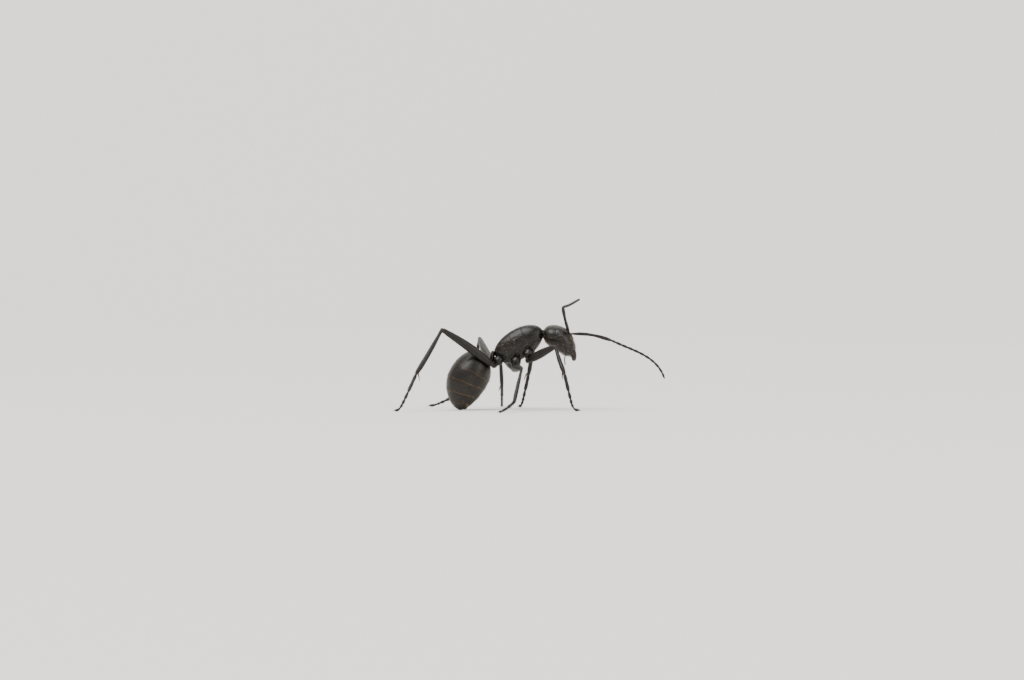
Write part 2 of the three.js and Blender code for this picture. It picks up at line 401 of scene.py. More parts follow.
def drawn(name: str, rings: list[Ring], sides: int = 20) -> Mesh:
    """Draws a closed skin out of a circle, extruding it from ring to ring.

    Args:
        name: Name of the object.
        rings: The rings, from the first to the last.
        sides: Number of faces round it.

    Returns:
        The skin.
    """
    bpy.ops.object.select_all(action="DESELECT")
    bpy.ops.mesh.primitive_circle_add(vertices=sides, radius=1, fill_type="NGON")
    made = bpy.context.object
    made.name = name
    last = Ring(0, 0, UPRIGHT, 1, 1)
    with editing(made):
        bpy.ops.mesh.select_all(action="SELECT")
        for i, ring in enumerate(rings):
            shift, centre = (ring.x - last.x, 0, ring.z - last.z), (ring.x, 0, ring.z)
            if i == 0:
                bpy.ops.transform.translate(value=shift)
            else:
                bpy.ops.mesh.extrude_region_move(TRANSFORM_OT_translate={"value": shift})
            growth = (ring.high / last.high, ring.wide / last.wide, 1)
            bpy.ops.transform.rotate(value=UPRIGHT - last.pitch, orient_axis="Y", center_override=centre)
            bpy.ops.transform.resize(value=growth, center_override=centre)
            bpy.ops.transform.rotate(value=ring.pitch - UPRIGHT, orient_axis="Y", center_override=centre)
            last = ring
        bpy.ops.mesh.select_all(action="SELECT")
        bpy.ops.mesh.normals_make_consistent(inside=False)
    return made


@dataclass(frozen=True)
class Shaft:
    """A straight round-ended rod with a swelling outline.

    Attributes:
        outline: Pairs of share of the length and radius in mm.
        flat: Its width along Y as a share of its height.
        domes: How far its two ends bulge, as shares of their radii.
        bow: How far its middle is pushed towards +Z, in mm.
        steps: Number of rings between the ends.
    """

    outline: tuple[tuple[float, float], ...]
    flat: float = 1.0
    domes: tuple[float, float] = (1.0, 1.0)
    bow: float = 0.0
    steps: int = 10

    def radius(self, share: float) -> float:
        """Its radius at a share of its length, in mm."""
        return through(self.outline, share)

    def made(self, name: str, length: float, sides: int = 16) -> Mesh:
        """Models the rod along +X from the origin.

        Args:
            name: Name of the object.
            length: Its length, in mm.
            sides: Number of faces round it before it is smoothed.

        Returns:
            The rod.
        """
        caps = [self.radius(end) * dome for end, dome in zip((0, 1), self.domes)]
        angles = [UPRIGHT * k / 4 for k in (0.25, 1, 2, 3)]
        rows = [(caps[0] * (1 - math.cos(a)), self.radius(0) * math.sin(a)) for a in angles]
        for k in range(self.steps + 1):
            x = caps[0] + (length - sum(caps)) * k / self.steps
            rows.append((x, self.radius(k / self.steps)))
        rows += [(length - caps[1] * (1 - math.cos(a)), self.radius(1) * math.sin(a)) for a in reversed(angles)]
        lift = [self.bow * math.sin(math.pi * x / length) for x, _ in rows]
        rings = [Ring(x, z, 0, r, r * self.flat) for (x, r), z in zip(rows, lift)]
        rod = drawn(name, rings, sides)
        smooth_out(rod)
        return rod

    def between(self, name: str, start: Vector, end: Vector, up: Vector = UP, sides: int = 16) -> Mesh:
        """Models the rod from one point to another, in mm, with its +Z turned towards up."""
        return seat(self.made(name, (end - start).length, sides), start, end - start, up)


@dataclass(frozen=True)
class Hook:
    """A tapering curved spike, such as a claw, tooth or spur.

    Attributes:
        length: Its length along the curve, in mm.
        radius: Its radius at the root, in mm.
        curl: How far it bends down towards -Z, in degrees.
        flat: Its width along Y as a share of its height.
    """

    length: float
    radius: float
    curl: float = 0.0
    flat: float = 1.0

    def made(self, name: str, sides: int = 10, steps: int = 8) -> Mesh:
        """Models the spike from the origin, starting along +X.

        Args:
            name: Name of the object.
            sides: Number of faces round it.
            steps: Number of rings along it.

        Returns:
            The spike.
        """
        rings = []
        for k in range(steps + 1):
            size = self.radius * (1 - 0.93 * (k / steps) ** 1.3)
            rings.append(Ring(*self.at(k / steps), size, size * self.flat))
        return drawn(name, rings, sides)

    def at(self, share: float) -> tuple[float, float, float]:
        """Place in mm and pitch in radians of its middle line at a share of its length."""
        bend = -math.radians(self.curl)
        pitch = bend * share
        if abs(bend) < 1e-6:
            return self.length * share, 0.0, 0.0
        radius = self.length / bend
        return radius * math.sin(pitch), radius * (1 - math.cos(pitch)), pitch


@dataclass(frozen=True)
class Swell:
    """How far a skin stands off its spine: two quarter superellipses that meet at the peak.

    Attributes:
        size: The greatest distance, in mm.
        peak: Share of the spine at which it is reached.
        before: How blunt the body is before the peak.
        after: How blunt it is after the peak.
    """

    size: float
    peak: float
    before: float
    after: float

    def at(self, share: float) -> float:
        """The distance at a share of the spine, in mm."""
        if share < self.peak:
            away, power = 1 - share / self.peak, self.before
        else:
            away, power = (share - self.peak) / (1 - self.peak), self.after
        return self.size * max(1 - away**power, 0.0) ** (1 / power)


@dataclass(frozen=True)
class Body:
    """A rounded body along a spine in the middle plane.

    Attributes:
        spine: The spine's start, control point and end as pairs of x and z, in mm.
        above: How far the skin stands above the spine.
        below: How far it stands below.
        beside: How far it stands to each side.
    """

    spine: tuple[tuple[float, float], ...]
    above: Swell
    below: Swell
    beside: Swell

    @cached_property
    def _path(self) -> np.ndarray:
        """Rows of share of the length, x, z and pitch along the spine."""
        a, b, c = (np.array(p) for p in self.spine)
        t = np.linspace(0, 1, 129)[:, None]
        points = (1 - t) ** 2 * a + 2 * t * (1 - t) * b + t**2 * c
        ways = (1 - t) * (b - a) + t * (c - b)
        lengths = np.concatenate([[0], np.cumsum(np.linalg.norm(np.diff(points, axis=0), axis=1))])
        return np.column_stack([lengths / lengths[-1], points, np.arctan2(ways[:, 1], ways[:, 0])])

    def ring(self, share: float) -> Ring:
        """The skin's ring at a share of the spine's length."""
        x, z, pitch = (np.interp(share, self._path[:, 0], self._path[:, k]) for k in (1, 2, 3))
        above, below = self.above.at(share), self.below.at(share)
        lift = (above - below) / 2
        middle = (x - lift * math.sin(pitch), z + lift * math.cos(pitch))
        return Ring(*middle, pitch, (above + below) / 2, self.beside.at(share))

    def point(self, share: float, around: float) -> Vector:
        """A point of the skin, in mm.

        Args:
            share: Share of the spine's length.
            around: Degrees round the spine, from straight above towards the left side.

        Returns:
            The point.
        """
        ring, a = self.ring(share), math.radians(around)
        rise = ring.high * math.cos(a)
        x, z = ring.x - rise * math.sin(ring.pitch), ring.z + rise * math.cos(ring.pitch)
        return Vector((x, ring.wide * math.sin(a), z))

    def outward(self, share: float, around: float) -> Vector:
        """The direction that the skin faces at a point, with the same arguments as point."""
        across = self.point(share, around + 2) - self.point(share, around - 2)
        onward = self.point(share + 0.01, around) - self.point(share - 0.01, around)
        return onward.cross(across).normalized()

    def line(self, knots: tuple[tuple[float, float], ...], count: int = 40) -> list[Vector]:
        """Follows a line on the skin.

        Args:
            knots: Pairs of share of the spine and degrees round it.
            count: Number of points.

        Returns:
            The points, in mm.
        """
        places = np.linspace(0, 1, len(knots))
        shares, turns = (tuple(zip(places, column)) for column in zip(*knots))
        return [self.point(through(shares, s), through(turns, s)) for s in np.linspace(0, 1, count)]

    def made(self, name: str, steps: int = 30, sides: int = 40) -> Mesh:
        """Models the whole skin.

        Args:
            name: Name of the object.
            steps: Number of rings along it.
            sides: Number of faces round it before it is smoothed.

        Returns:
            The skin.
        """
        shares = [(1 - math.cos(math.pi * (k + 0.3) / (steps + 0.6))) / 2 for k in range(steps + 1)]
        skin = drawn(name, [self.ring(share) for share in shares], sides)
        smooth_out(skin)
        return skin


# ---------------------------------------------------------------- finishes


def to_linear(colour: str) -> tuple[float, float, float, float]:
    """Turns an sRGB hex colour such as "#1a120d" into linear red, green, blue and alpha."""
    parts = [int(colour[k : k + 2], 16) / 255 for k in (1, 3, 5)]
    red, green, blue = (p / 12.92 if p <= 0.04045 else ((p + 0.055) / 1.055) ** 2.4 for p in parts)
    return (red, green, blue, 1.0)


class Nodes:
    """The node tree of one new material."""

    def __init__(self, name: str) -> None:
        """Starts a material with an empty node tree."""
        self.material = bpy.data.materials.new(name)
        self.material.use_nodes = True
        self.tree = self.material.node_tree
        self.tree.nodes.clear()

    def add(self, kind: str, links: dict[str, object] | None = None, **settings: object) -> bpy.types.Node:
        """Adds a node.

        Args:
            kind: The node's type without its ShaderNode prefix.
            links: For each input, the output socket that feeds it or its value.
            **settings: The node's own settings.

        Returns:
            The node.
        """
        node = self.tree.nodes.new("ShaderNode" + kind)
        for name, value in settings.items():
            setattr(node, name, value)
        for socket, value in (links or {}).items():
            if isinstance(value, bpy.types.NodeSocket):
                self.tree.links.new(value, node.inputs[socket])
            else:
                node.inputs[socket].default_value = value
        return node

    def ramp(self, factor: bpy.types.NodeSocket, *stops: tuple[float, str]) -> bpy.types.NodeSocket:
        """Turns a factor into colours between stops of place and sRGB hex colour."""
        node = self.add("ValToRGB", {"Fac": factor})
        for k, (place, colour) in enumerate(stops):
            elements = node.color_ramp.elements
            stop = elements[k] if k < 2 else elements.new(place)
            stop.position, stop.color = place, to_linear(colour)
        return node.outputs["Color"]


@dataclass(frozen=True)
class Cuticle:
    """Sclerotised cuticle: layered chitin, tanned dark, with a thin coat of wax.

    Attributes:
        name: Name of the material.
        dark: Colour of the fully tanned cuticle.
        warm: Colour where it is tanned less, in faint clouds.
        edge: Colour of thin margins and joint ends, where the piece's flush attribute is 1.
        roughness: Mean roughness of the wax.
        cell: Size of the fine net that its skin cells left, in mm.
        relief: Depth of that net, in mm.
    """

    name: str
    dark: str
    warm: str
    edge: str
    roughness: float
    cell: float
    relief: float

    def made(self) -> bpy.types.Material:
        """Builds the material."""
        nodes = Nodes(self.name)
        place = nodes.add("TexCoord").outputs["Object"]
        clouds = nodes.add("TexNoise", {"Vector": place, "Scale": 1 / (0.9 * MM), "Detail": 4.0}).outputs["Fac"]
        tanned = nodes.ramp(clouds, (0.35, self.dark), (0.75, self.warm))
        flush = nodes.add("Attribute", attribute_name="flush").outputs["Fac"]
        colour = nodes.add(
            "Mix",
            {"Factor": flush, "A": tanned, "B": to_linear(self.edge)},
            data_type="RGBA",
        )
        # Wax lies unevenly, so the shine changes a little over a third of a millimetre.
        wax = nodes.add("TexNoise", {"Vector": place, "Scale": 1 / (0.3 * MM), "Detail": 3.0}).outputs["Fac"]
        shine = nodes.add(
            "MapRange",
            {"Value": wax, "To Min": self.roughness - 0.07, "To Max": self.roughness + 0.1},
        ).outputs["Result"]
        # The net's cells are 0.015 mm on the animal, and drawn coarser here so that they can show.
        net = nodes.add(
            "TexVoronoi",
            {"Vector": place, "Scale": MM**-1 / self.cell},
            feature="DISTANCE_TO_EDGE",
        ).outputs["Distance"]
        low = nodes.add("MapRange", {"Value": net, "From Max": 0.12}, clamp=True).outputs["Result"]
        bump = nodes.add("Bump", {"Height": low, "Strength": 1.0, "Distance": self.relief * MM})
        waves = nodes.add("Bump", {"Height": wax, "Distance": 0.012 * MM, "Normal": bump.outputs["Normal"]})
        shader = nodes.add(
            "BsdfPrincipled",
            {
                "Base Color": colour.outputs["Result"],
                "Roughness": shine,
                "IOR": 1.4,
                "Normal": waves.outputs["Normal"],
            },
        )
        nodes.add("OutputMaterial", {"Surface": shader.outputs["BSDF"]})
        return nodes.material


@dataclass(frozen=True)
class EyeLens:
    """Compound eye: clear corneal lenses over dark pigment, glossy like wet glass.

    Attributes:
        name: Name of the material.
        pigment: Colour of the pigment under the lenses.
        glint: Colour of the paler spots, a painted glint that noise scatters over the pigment.
    """

    name: str
    pigment: str
    glint: str

    def made(self) -> bpy.types.Material:
        """Builds the material."""
        nodes = Nodes(self.name)
        place = nodes.add("TexCoord").outputs["Object"]
        # Noise scatters spots of painted glint, paler than the pigment, over the eye.
        spots = nodes.add("TexNoise", {"Vector": place, "Scale": 1 / (0.12 * MM)}).outputs["Fac"]
        shader = nodes.add(
            "BsdfPrincipled",
            {
                "Base Color": nodes.ramp(spots, (0.4, self.pigment), (0.8, self.glint)),
                "Roughness": 0.16,
                "IOR": 1.45,
                "Coat Weight": 0.6,
                "Coat Roughness": 0.05,
            },
        )
        nodes.add("OutputMaterial", {"Surface": shader.outputs["BSDF"]})
        return nodes.material


@dataclass(frozen=True)
class Seta:
    """Hair of an insect: untanned chitin, pale and glassy, so that it glints gold.

    Attributes:
        name: Name of the material.
        base: Colour near the roots, on average.
        tip: Colour of the paler hairs.
    """

    name: str
    base: str
    tip: str

    def made(self) -> bpy.types.Material:
        """Builds the material."""
        nodes = Nodes(self.name)
        place = nodes.add("TexCoord").outputs["Object"]
        variety = nodes.add("TexNoise", {"Vector": place, "Scale": 1 / (0.2 * MM)}).outputs["Fac"]
        shader = nodes.add(
            "BsdfPrincipled",
            {
                "Base Color": nodes.ramp(variety, (0.3, self.base), (0.7, self.tip)),
                "Roughness": 0.35,
                "IOR": 1.56,
            },
        )
        nodes.add("OutputMaterial", {"Surface": shader.outputs["BSDF"]})
        return nodes.material


class Finish(Enum):
    """The finishes of this ant."""

    PLATE = Cuticle("tanned_cuticle_plate", "#080706", "#120d0a", "#20130c", 0.3, 0.03, 0.0007)
    GASTER = Cuticle("tanned_cuticle_gaster", "#080706", "#120e0a", "#4c3520", 0.34, 0.028, 0.0007)
    LIMB = Cuticle("tanned_cuticle_limb", "#0b0706", "#170f0a", "#28160c", 0.37, 0.03, 0.0008)
    TARSUS = Cuticle("tanned_cuticle_foot_and_feeler", "#0e0906", "#1c110b", "#2d190f", 0.42, 0.03, 0.0008)
    JAW = Cuticle("tanned_cuticle_jaw", "#0c0706", "#170c08", "#2b120a", 0.27, 0.035, 0.0007)
    MEMBRANE = Cuticle("joint_membrane", "#1a100a", "#28180d", "#28180d", 0.45, 0.03, 0.001)
    # The eye's paler colour is a painted glint, laid in noise spots.
    EYE = EyeLens("corneal_lenses", "#040405", "#100d0b")
    BRISTLE = Seta("golden_bristle", "#a9824a", "#d9b77f")
    PILE = Seta("pale_pile", "#5c4c34", "#7d6a4a")
    DARK_PILE = Seta("brown_pile", "#3a2d1e", "#57452c")

    @cached_property
    def material(self) -> bpy.types.Material:
        """The finish's material, built once."""
        return self.value.made()


@dataclass
class Finished:
    """A finished piece and the way its skin runs, which its hair needs.

    Attributes:
        piece: The object, in metres.
        start: Start of the skin's axis, in mm.
        end: End of the axis, towards which hair lies, in mm.
    """

    piece: Mesh
    start: Vector
    end: Vector


class Bench:
    """Collects the finished pieces."""

    def __init__(self) -> None:
        """Starts with nothing on the bench."""
        self.pieces: dict[str, Finished] = {}

    def finish(
        self,
        piece: Mesh,
        finish: Finish,
        slot: str,
        nodes: list[str],
        axis: tuple[Vector, Vector],
        flush: Callable[[Vector], float] | None = None,
        crease: float = 40.0,
    ) -> None:
        """Brings a piece to metres, gives it its finish, hangs it from the root empty and hides the solids it stands
        for.

        Args:
            piece: The piece, in mm.
            finish: Its finish.
            slot: Name of its material slot; not used.
            nodes: Solids that it stands for.
            axis: Start and end of its skin, in mm.
            flush: Share of the edge colour at a place, in mm.
            crease: Least angle of an edge that stays sharp, in degrees.
        """
        if flush is not None:
            values = [min(max(flush(vertex.co), 0.0), 1.0) for vertex in piece.data.vertices]
            piece.data.attributes.new("flush", "FLOAT", "POINT").data.foreach_set("value", values)
        choose(piece)
        piece.scale = (MM, MM, MM)
        bpy.ops.object.transform_apply(location=True, rotation=True, scale=True)
        bpy.ops.object.shade_smooth_by_angle(angle=math.radians(crease))
        piece.data.name = piece.name
        piece.data.materials.clear()
        piece.data.materials.append(finish.material)
        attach(piece, "root")
        if nodes:
            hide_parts(*nodes)
        self.pieces[piece.name] = Finished(piece, *axis)
        log.info("%s: %d faces", piece.name, len(piece.data.polygons))


# ---------------------------------------------------------------- head


@dataclass
class Head:
    """The head capsule with its face, and the eyes, jaws and mouthparts on it.

    Attributes:
        body: The capsule from neck to mouth.
        eye_at: Middle of the left eye, in mm.
        eye_outward: Where the left eye faces.
        eye_size: Half length, half height and half depth of an eye, in mm.
        socket_radius: Radius of a feeler's socket, in mm.
        grain: Face size of the fused skin, in mm.
    """

    body: Body = Body(
        ((0.98, 6.86), (2.85, 6.75), (3.85, 4.95)),
        Swell(1.08, 0.47, 2.4, 1.2),
        Swell(1.08, 0.45, 2.3, 2.2),
        Swell(1.32, 0.36, 2.6, 2.8),
    )
    eye_at: tuple[float, float, float] = (2.42, 1.08, 6.86)
    eye_outward: tuple[float, float, float] = (-0.1, 1.0, 0.28)
    eye_size: tuple[float, float, float] = (0.38, 0.3, 0.23)
    eye_lift: float = 0.06
    socket: tuple[float, float] = (0.56, 26.0)
    socket_radius: float = 0.15
    grain: float = 0.02
    suture: float = 0.028
    front_ridge: tuple[tuple[float, float], ...] = ((0.7, 10), (0.62, 12.5), (0.54, 17), (0.46, 19), (0.4, 18))
    clypeus_edge: tuple[tuple[float, float], ...] = ((0.95, 62), (0.86, 44), (0.77, 26), (0.72, 9), (0.715, 0))
    lip: tuple[tuple[float, float], ...] = ((0.955, 46), (0.975, 28), (0.985, 10), (0.985, 0))

    def hinge(self, side: Side) -> tuple[Vector, Vector]:
        """Middle of a feeler's socket, in mm, and the way it opens."""
        share, around = self.socket[0], self.socket[1] * side.value
        return self.body.point(share, around), self.body.outward(share, around)

    def eye_frame(self, side: Side) -> tuple[Vector, Vector, Vector]:
        """Middle of an eye, the way its length runs, and the way it faces."""
        at, outward = (Vector((v[0], v[1] * side.value, v[2])) for v in (self.eye_at, self.eye_outward))
        outward.normalize()
        pitch = self.body.ring(0.5).pitch
        return at + outward * self.eye_lift, Vector((math.cos(pitch), 0, math.sin(pitch))), outward

    def eyeball(self, name: str, side: Side, grow: tuple[float, float], detail: int) -> Mesh:
        """Models the ellipsoid of an eye.

        Args:
            name: Name of the object.
            side: Side of the head.
            grow: How much wider and how much deeper than the eye it is, in mm.
            detail: Subdivisions of the icosphere.

        Returns:
            The ellipsoid.
        """
        at, along, outward = self.eye_frame(side)
        long, high, deep = self.eye_size
        size = (long + grow[0], high + grow[0], deep + grow[1])
        return seat(ball(name, Vector(), size, detail), at, along, outward)

    def mirrored(self, knots: tuple[tuple[float, float], ...]) -> tuple[tuple[float, float], ...]:
        """A line of the left half of the face, carried over the middle to the right half."""
        return knots + tuple((share, -around) for share, around in reversed(knots[:-1]))

    def capsule(self) -> Mesh:
        """Models the head capsule with its clypeus, frontal ridges, sockets and sutures."""
        skin = self.body.made("head_capsule", steps=34, sides=48)
        line = self.body.line
        parts = [skin]
        for side in Side:
            sign = side.value
            at, out = self.hinge(side)
            parts.append(seat(torus(self.socket_radius + 0.02, 0.045), at - out * 0.02, out.orthogonal(), out))
            parts.append(self.eyeball("eye_rim", side, (0.05, -0.085), 4))
            ridge = tuple((share, around * sign) for share, around in self.front_ridge)
            parts.append(cord("front_ridge", line(ridge), 0.062))
            cheek = ball("cheek", Vector(), (0.3, 0.2, 0.26), 3)
            parts.append(seat(cheek, Vector((3.55, 0.6 * sign, 5.36)), Vector((0.35, 0, -0.9))))
        parts.append(cord("keel", line(((0.73, 0), (0.85, 0), (0.975, 0))), 0.035, 0.1))
        parts.append(cord("lip", line(self.mirrored(self.lip), 60), 0.07))
        carve(skin, cord("clypeus_edge", line(self.mirrored(self.clypeus_edge), 80), self.suture, 0.6))
        carve(skin, cord("front_line", line(((0.7, 0), (0.6, 0), (0.5, 0))), 0.02))
        whole = joined("head_capsule", parts)
        fuse(whole, self.grain, 3)
        for side in Side:
            at, out = self.hinge(side)
            carve(whole, ball("socket", at + out * 0.03, self.socket_radius, 4))
        return whole

    def eye(self, name: str, side: Side) -> Mesh:
        """Models a compound eye: a dome of six-sided lenses.

        Args:
            name: Name of the object.
            side: Side of the head.

        Returns:
            The eye.
        """
        dome = self.eyeball(name, side, (0.0, 0.0), 5)
        at, _, outward = self.eye_frame(side)
        with editing(dome):
            bpy.ops.mesh.select_all(action="SELECT")
            bpy.ops.mesh.bisect(plane_co=at, plane_no=-outward, clear_outer=True, use_fill=True)
            pick(dome, lambda co: (co - at).dot(outward) > 0.02)
            bpy.ops.mesh.bevel(affect="VERTICES", offset_type="PERCENT", offset_pct=40)
            mesh = bmesh.from_edit_mesh(dome.data)
            lens = 0.6 * max(f.calc_area() for f in mesh.faces if (f.calc_center_median() - at).dot(outward) > 0.1)
            for face in mesh.faces:
                face.select_set(0.5 * lens < face.calc_area() < 3 * lens and len(face.verts) >= 5)
            bmesh.update_edit_mesh(dome.data)
            bpy.ops.mesh.poke(offset=0.004)
        return dome

    def jaw(self, name: str, side: Side) -> Mesh:
        """Models a mandible: a curved blade with five teeth on its inner edge.

        Args:
            name: Name of the object.
            side: Side of the head.

        Returns:
            The mandible.
        """
        blade_knots = ((0, 0.22), (0.14, 0.3), (0.4, 0.28), (0.7, 0.2), (0.92, 0.11), (1, 0.04))
        thick_knots = ((0, 0.2), (0.2, 0.27), (0.6, 0.25), (0.86, 0.19), (1, 0.06))
        curl, length, steps = math.radians(48), 1.15, 14
        x, z, pitch = 0.0, 0.0, 0.0
        rings = []
        for k in range(steps + 1):
            high = through(blade_knots, k / steps)
            rings.append(Ring(x, z, pitch, high, through(thick_knots, k / steps)))
            pitch -= curl / steps
            x += math.cos(pitch) * length / steps
            z += math.sin(pitch) * length / steps
        parts = [drawn(name, rings)]
        for k in range(5):
            ring = rings[steps - 1 - 2 * k]
            inward = Vector((math.sin(ring.pitch), 0, -math.cos(ring.pitch)))
            forward = Vector((math.cos(ring.pitch), 0, math.sin(ring.pitch)))
            root = Vector((ring.x, 0, ring.z)) + inward * ring.high * 0.8
            tooth = Hook(0.21 - 0.012 * k, 0.08, 10, 0.8).made("tooth")
            parts.append(seat(tooth, root, inward + forward * 0.6, Vector((0, 1, 0))))
        blade = joined(name, parts)
        fuse(blade, 0.014, 2)
        root = Vector((3.66, 0.6 * side.value, 5.4))
        bend = Vector((0.2, -0.05 * side.value, -0.9))
        return seat(blade, root, bend, Vector((0.12, side.value, 0.2)))

    def palp(self, name: str, side: Side) -> Mesh:
        """Models a maxillary palp of five short joints that hangs behind the jaws."""
        joint = Vector((3.0, 0.16 * side.value, 4.95))
        parts = []
        for k, length in enumerate((0.14, 0.23, 0.23, 0.2, 0.18)):
            way = Vector((-0.25 + 0.12 * k, 0.12 * side.value, -1)).normalized()
            rod = Shaft(((0, 0.055), (0.7, 0.076), (1, 0.056)), steps=4)
            parts.append(rod.between(name, joint, joint + way * length, Vector((1, 0, 0)), 8))
            joint = joint + way * (length - 0.015)
        return joined(name, parts)

    def lower_mouth(self) -> Mesh:
        """Models the labium and maxillae that fill the mouth behind the jaws."""
        slope = Vector((0.93, 0, -0.3))
        parts = [seat(ball("mouthparts", Vector(), (0.5, 0.17, 0.19), 3), Vector((3.04, 0, 5.05)), slope)]
        for side in Side:
            maxilla = ball("maxilla", Vector(), (0.46, 0.12, 0.17), 3)
            parts.append(seat(maxilla, Vector((3.1, 0.21 * side.value, 5.08)), slope))
        parts.append(ball("tongue", Vector((3.46, 0, 4.87)), (0.15, 0.1, 0.09), 3))
        whole = joined("mouthparts", parts)
        fuse(whole, 0.02, 2)
        return joined("labium_and_palps", [whole, *(self.palp("palp", side) for side in Side)])

    def build(self, bench: Bench) -> None:
        """Models and finishes the head and all that is on it."""
        neck, mouth = self.body.point(0.02, 0), self.body.point(0.98, 0)
        for side in Side:
            word = side.name.lower()
            at, _, outward = self.eye_frame(side)
            eye = self.eye(f"compound_eye_{word}", side)
            bench.finish(eye, Finish.EYE, "eye_lens", [f"eye_{word}"], (at, at + outward), crease=30)
            jaw = self.jaw(f"jaw_{word}", side)
            tip = Vector((3.66, 0.2 * side.value, 4.62))
            axis = (Vector((3.5, 0.66 * side.value, 5.3)), tip)
            shade = lambda co, tip=tip: 1.3 - (co - tip).length / 0.5
            bench.finish(jaw, Finish.JAW, "limb_cuticle", [f"mandible_{word}"], axis, shade)
        bench.finish(
            self.lower_mouth(),
            Finish.LIMB,
            "limb_cuticle",
            ["mouthparts"],
            (Vector((2.5, 0, 5.1)), Vector((3.4, 0, 4.8))),
        )
        bench.finish(self.capsule(), Finish.PLATE, "body_cuticle", ["head"], (neck, mouth), crease=80)


# ---------------------------------------------------------------- mesosoma and petiole


@dataclass
class Mesosoma:
    """The middle body: pronotum, mesothorax and propodeum, parted by their sutures, and the neck.

    Attributes:
        body: The whole middle body from waist to neck.
        seams: Shares of its length at which its plates part.
        grain: Face size of the fused skin, in mm.
        suture: Radius of the grooves, in mm.
        side_lines: Sutures of the left side, as pairs of share and degrees round the body.
    """

    body: Body = Body(
        ((-3.32, 4.86), (-0.75, 6.8), (1.02, 6.9)),
        Swell(1.13, 0.57, 2.0, 2.2),
        Swell(1.6, 0.5, 2.6, 2.0),
        Swell(0.92, 0.7, 2.2, 2.2),
    )
    seams: tuple[float, float] = (0.4, 0.64)
    grain: float = 0.022
    suture: float = 0.034
    side_lines: tuple[tuple[tuple[float, float], ...], ...] = (
        ((0.4, 60), (0.52, 64), (0.64, 56)),
        ((0.4, 112), (0.5, 98), (0.64, 96)),
        ((0.4, 84), (0.26, 90), (0.1, 88)),
        ((0.64, 108), (0.78, 112), (0.92, 104)),
    )

    def build(self, bench: Bench) -> None:
        """Models and finishes the three plates, with the neck on the first."""
        whole = self.body.made("mesosoma", steps=34, sides=48)
        for share in self.seams:
            belt = [self.body.point(share, turn) for turn in range(0, 360, 6)]
            carve(whole, cord("suture", belt, self.suture, ring=True))
        collar = Shaft(((0, 0.42), (0.5, 0.37), (1, 0.33)), flat=1.05, steps=4)
        parts = [whole, collar.between("collar", Vector((0.4, 0, 6.7)), Vector((1.42, 0, 7.0)))]
        for side in Side:
            sign = side.value
            for knots in self.side_lines:
                turned = tuple((share, around * sign) for share, around in knots)
                carve(whole, cord("suture", self.body.line(turned), self.suture))
            parts += [self.spiracle(0.2, 58 * sign), self.spiracle(0.43, 74 * sign)]
            at, out = self.body.point(0.1, 108 * sign), self.body.outward(0.1, 108 * sign)
            gland = ball("gland", Vector(), (0.3, 0.16, 0.09), 3)
            parts.append(seat(gland, at - out * 0.055, Vector((1, 0, 0.6)).cross(out).cross(out), out))
            parts += [self.cavity(whole, pair, side) for pair in Pair]
        whole = joined("mesosoma", parts)
        fuse(whole, self.grain, 4)
        self.part(bench, whole)

    def part(self, bench: Bench, whole: Mesh) -> None:
        """Parts the fused skin at its two belts and finishes the plates.

        Args:
            bench: Takes the finished pieces.
            whole: The fused skin.
        """
        axis = (self.body.point(0.98, 0), self.body.point(0.02, 0))
        limits = (0.0, *self.seams, 1.0)
        for k, name in enumerate(("propodeum", "mesonotum", "pronotum")):
            plate = copy_of(whole, f"{name}_plate")
            with editing(plate):
                for share, sign in ((limits[k], -1), (limits[k + 1], 1)):
                    if share not in self.seams:
                        continue
                    ring = self.body.ring(share)
                    way = Vector((math.cos(ring.pitch), 0, math.sin(ring.pitch))) * sign
                    bpy.ops.mesh.select_all(action="SELECT")
                    bpy.ops.mesh.bisect(
                        plane_co=(ring.x, 0, ring.z), plane_no=way, clear_outer=True, use_fill=True
                    )
            bench.finish(plate, Finish.PLATE, "body_cuticle", [name], axis, crease=60)
        bpy.data.objects.remove(whole)

    def cavity(self, whole: Mesh, pair: Pair, side: Side) -> Mesh:
        """Models the low rim that follows the skin round the cavity that a coxa hangs in.

        Args:
            whole: The skin before it is fused.
            pair: Pair of the leg.
            side: Side of the leg.

        Returns:
            The rim.
        """
        root, hip = Leg(pair, side).joints[:2]
        radius = SIZES[pair].coxa * 1.02
        way = (root - hip).normalized()
        across = way.orthogonal().normalized()
        rim = []
        for turn in range(0, 360, 10):
            away = Matrix.Rotation(math.radians(turn), 3, way) @ across * radius
            met, at, _, _ = whole.ray_cast(hip - way + away, way)
            if not met or (at - root).length > 1.35 * radius:
                _, at, _, _ = whole.closest_point_on_mesh(root + away)
            rim.append(at)
        for _ in range(5):  # evens the line out and lays it back on the skin
            even = [(a + b + c) / 3 for a, b, c in zip(rim[-1:] + rim[:-1], rim, rim[1:] + rim[:1])]
            rim = [whole.closest_point_on_mesh(point)[1] for point in even]
        return cord("rim", rim, 0.045, ring=True)

    def spiracle(self, share: float, around: float) -> Mesh:
        """Models the raised rim of a breathing hole.

        Args:
            share: Share of the spine at which it lies.
            around: Degrees round the spine.

        Returns:
            The rim.
        """
        at, out = self.body.point(share, around), self.body.outward(share, around)
        return seat(torus(0.075, 0.035, 1.5), at, Vector((0.4, 0, 1)), out)


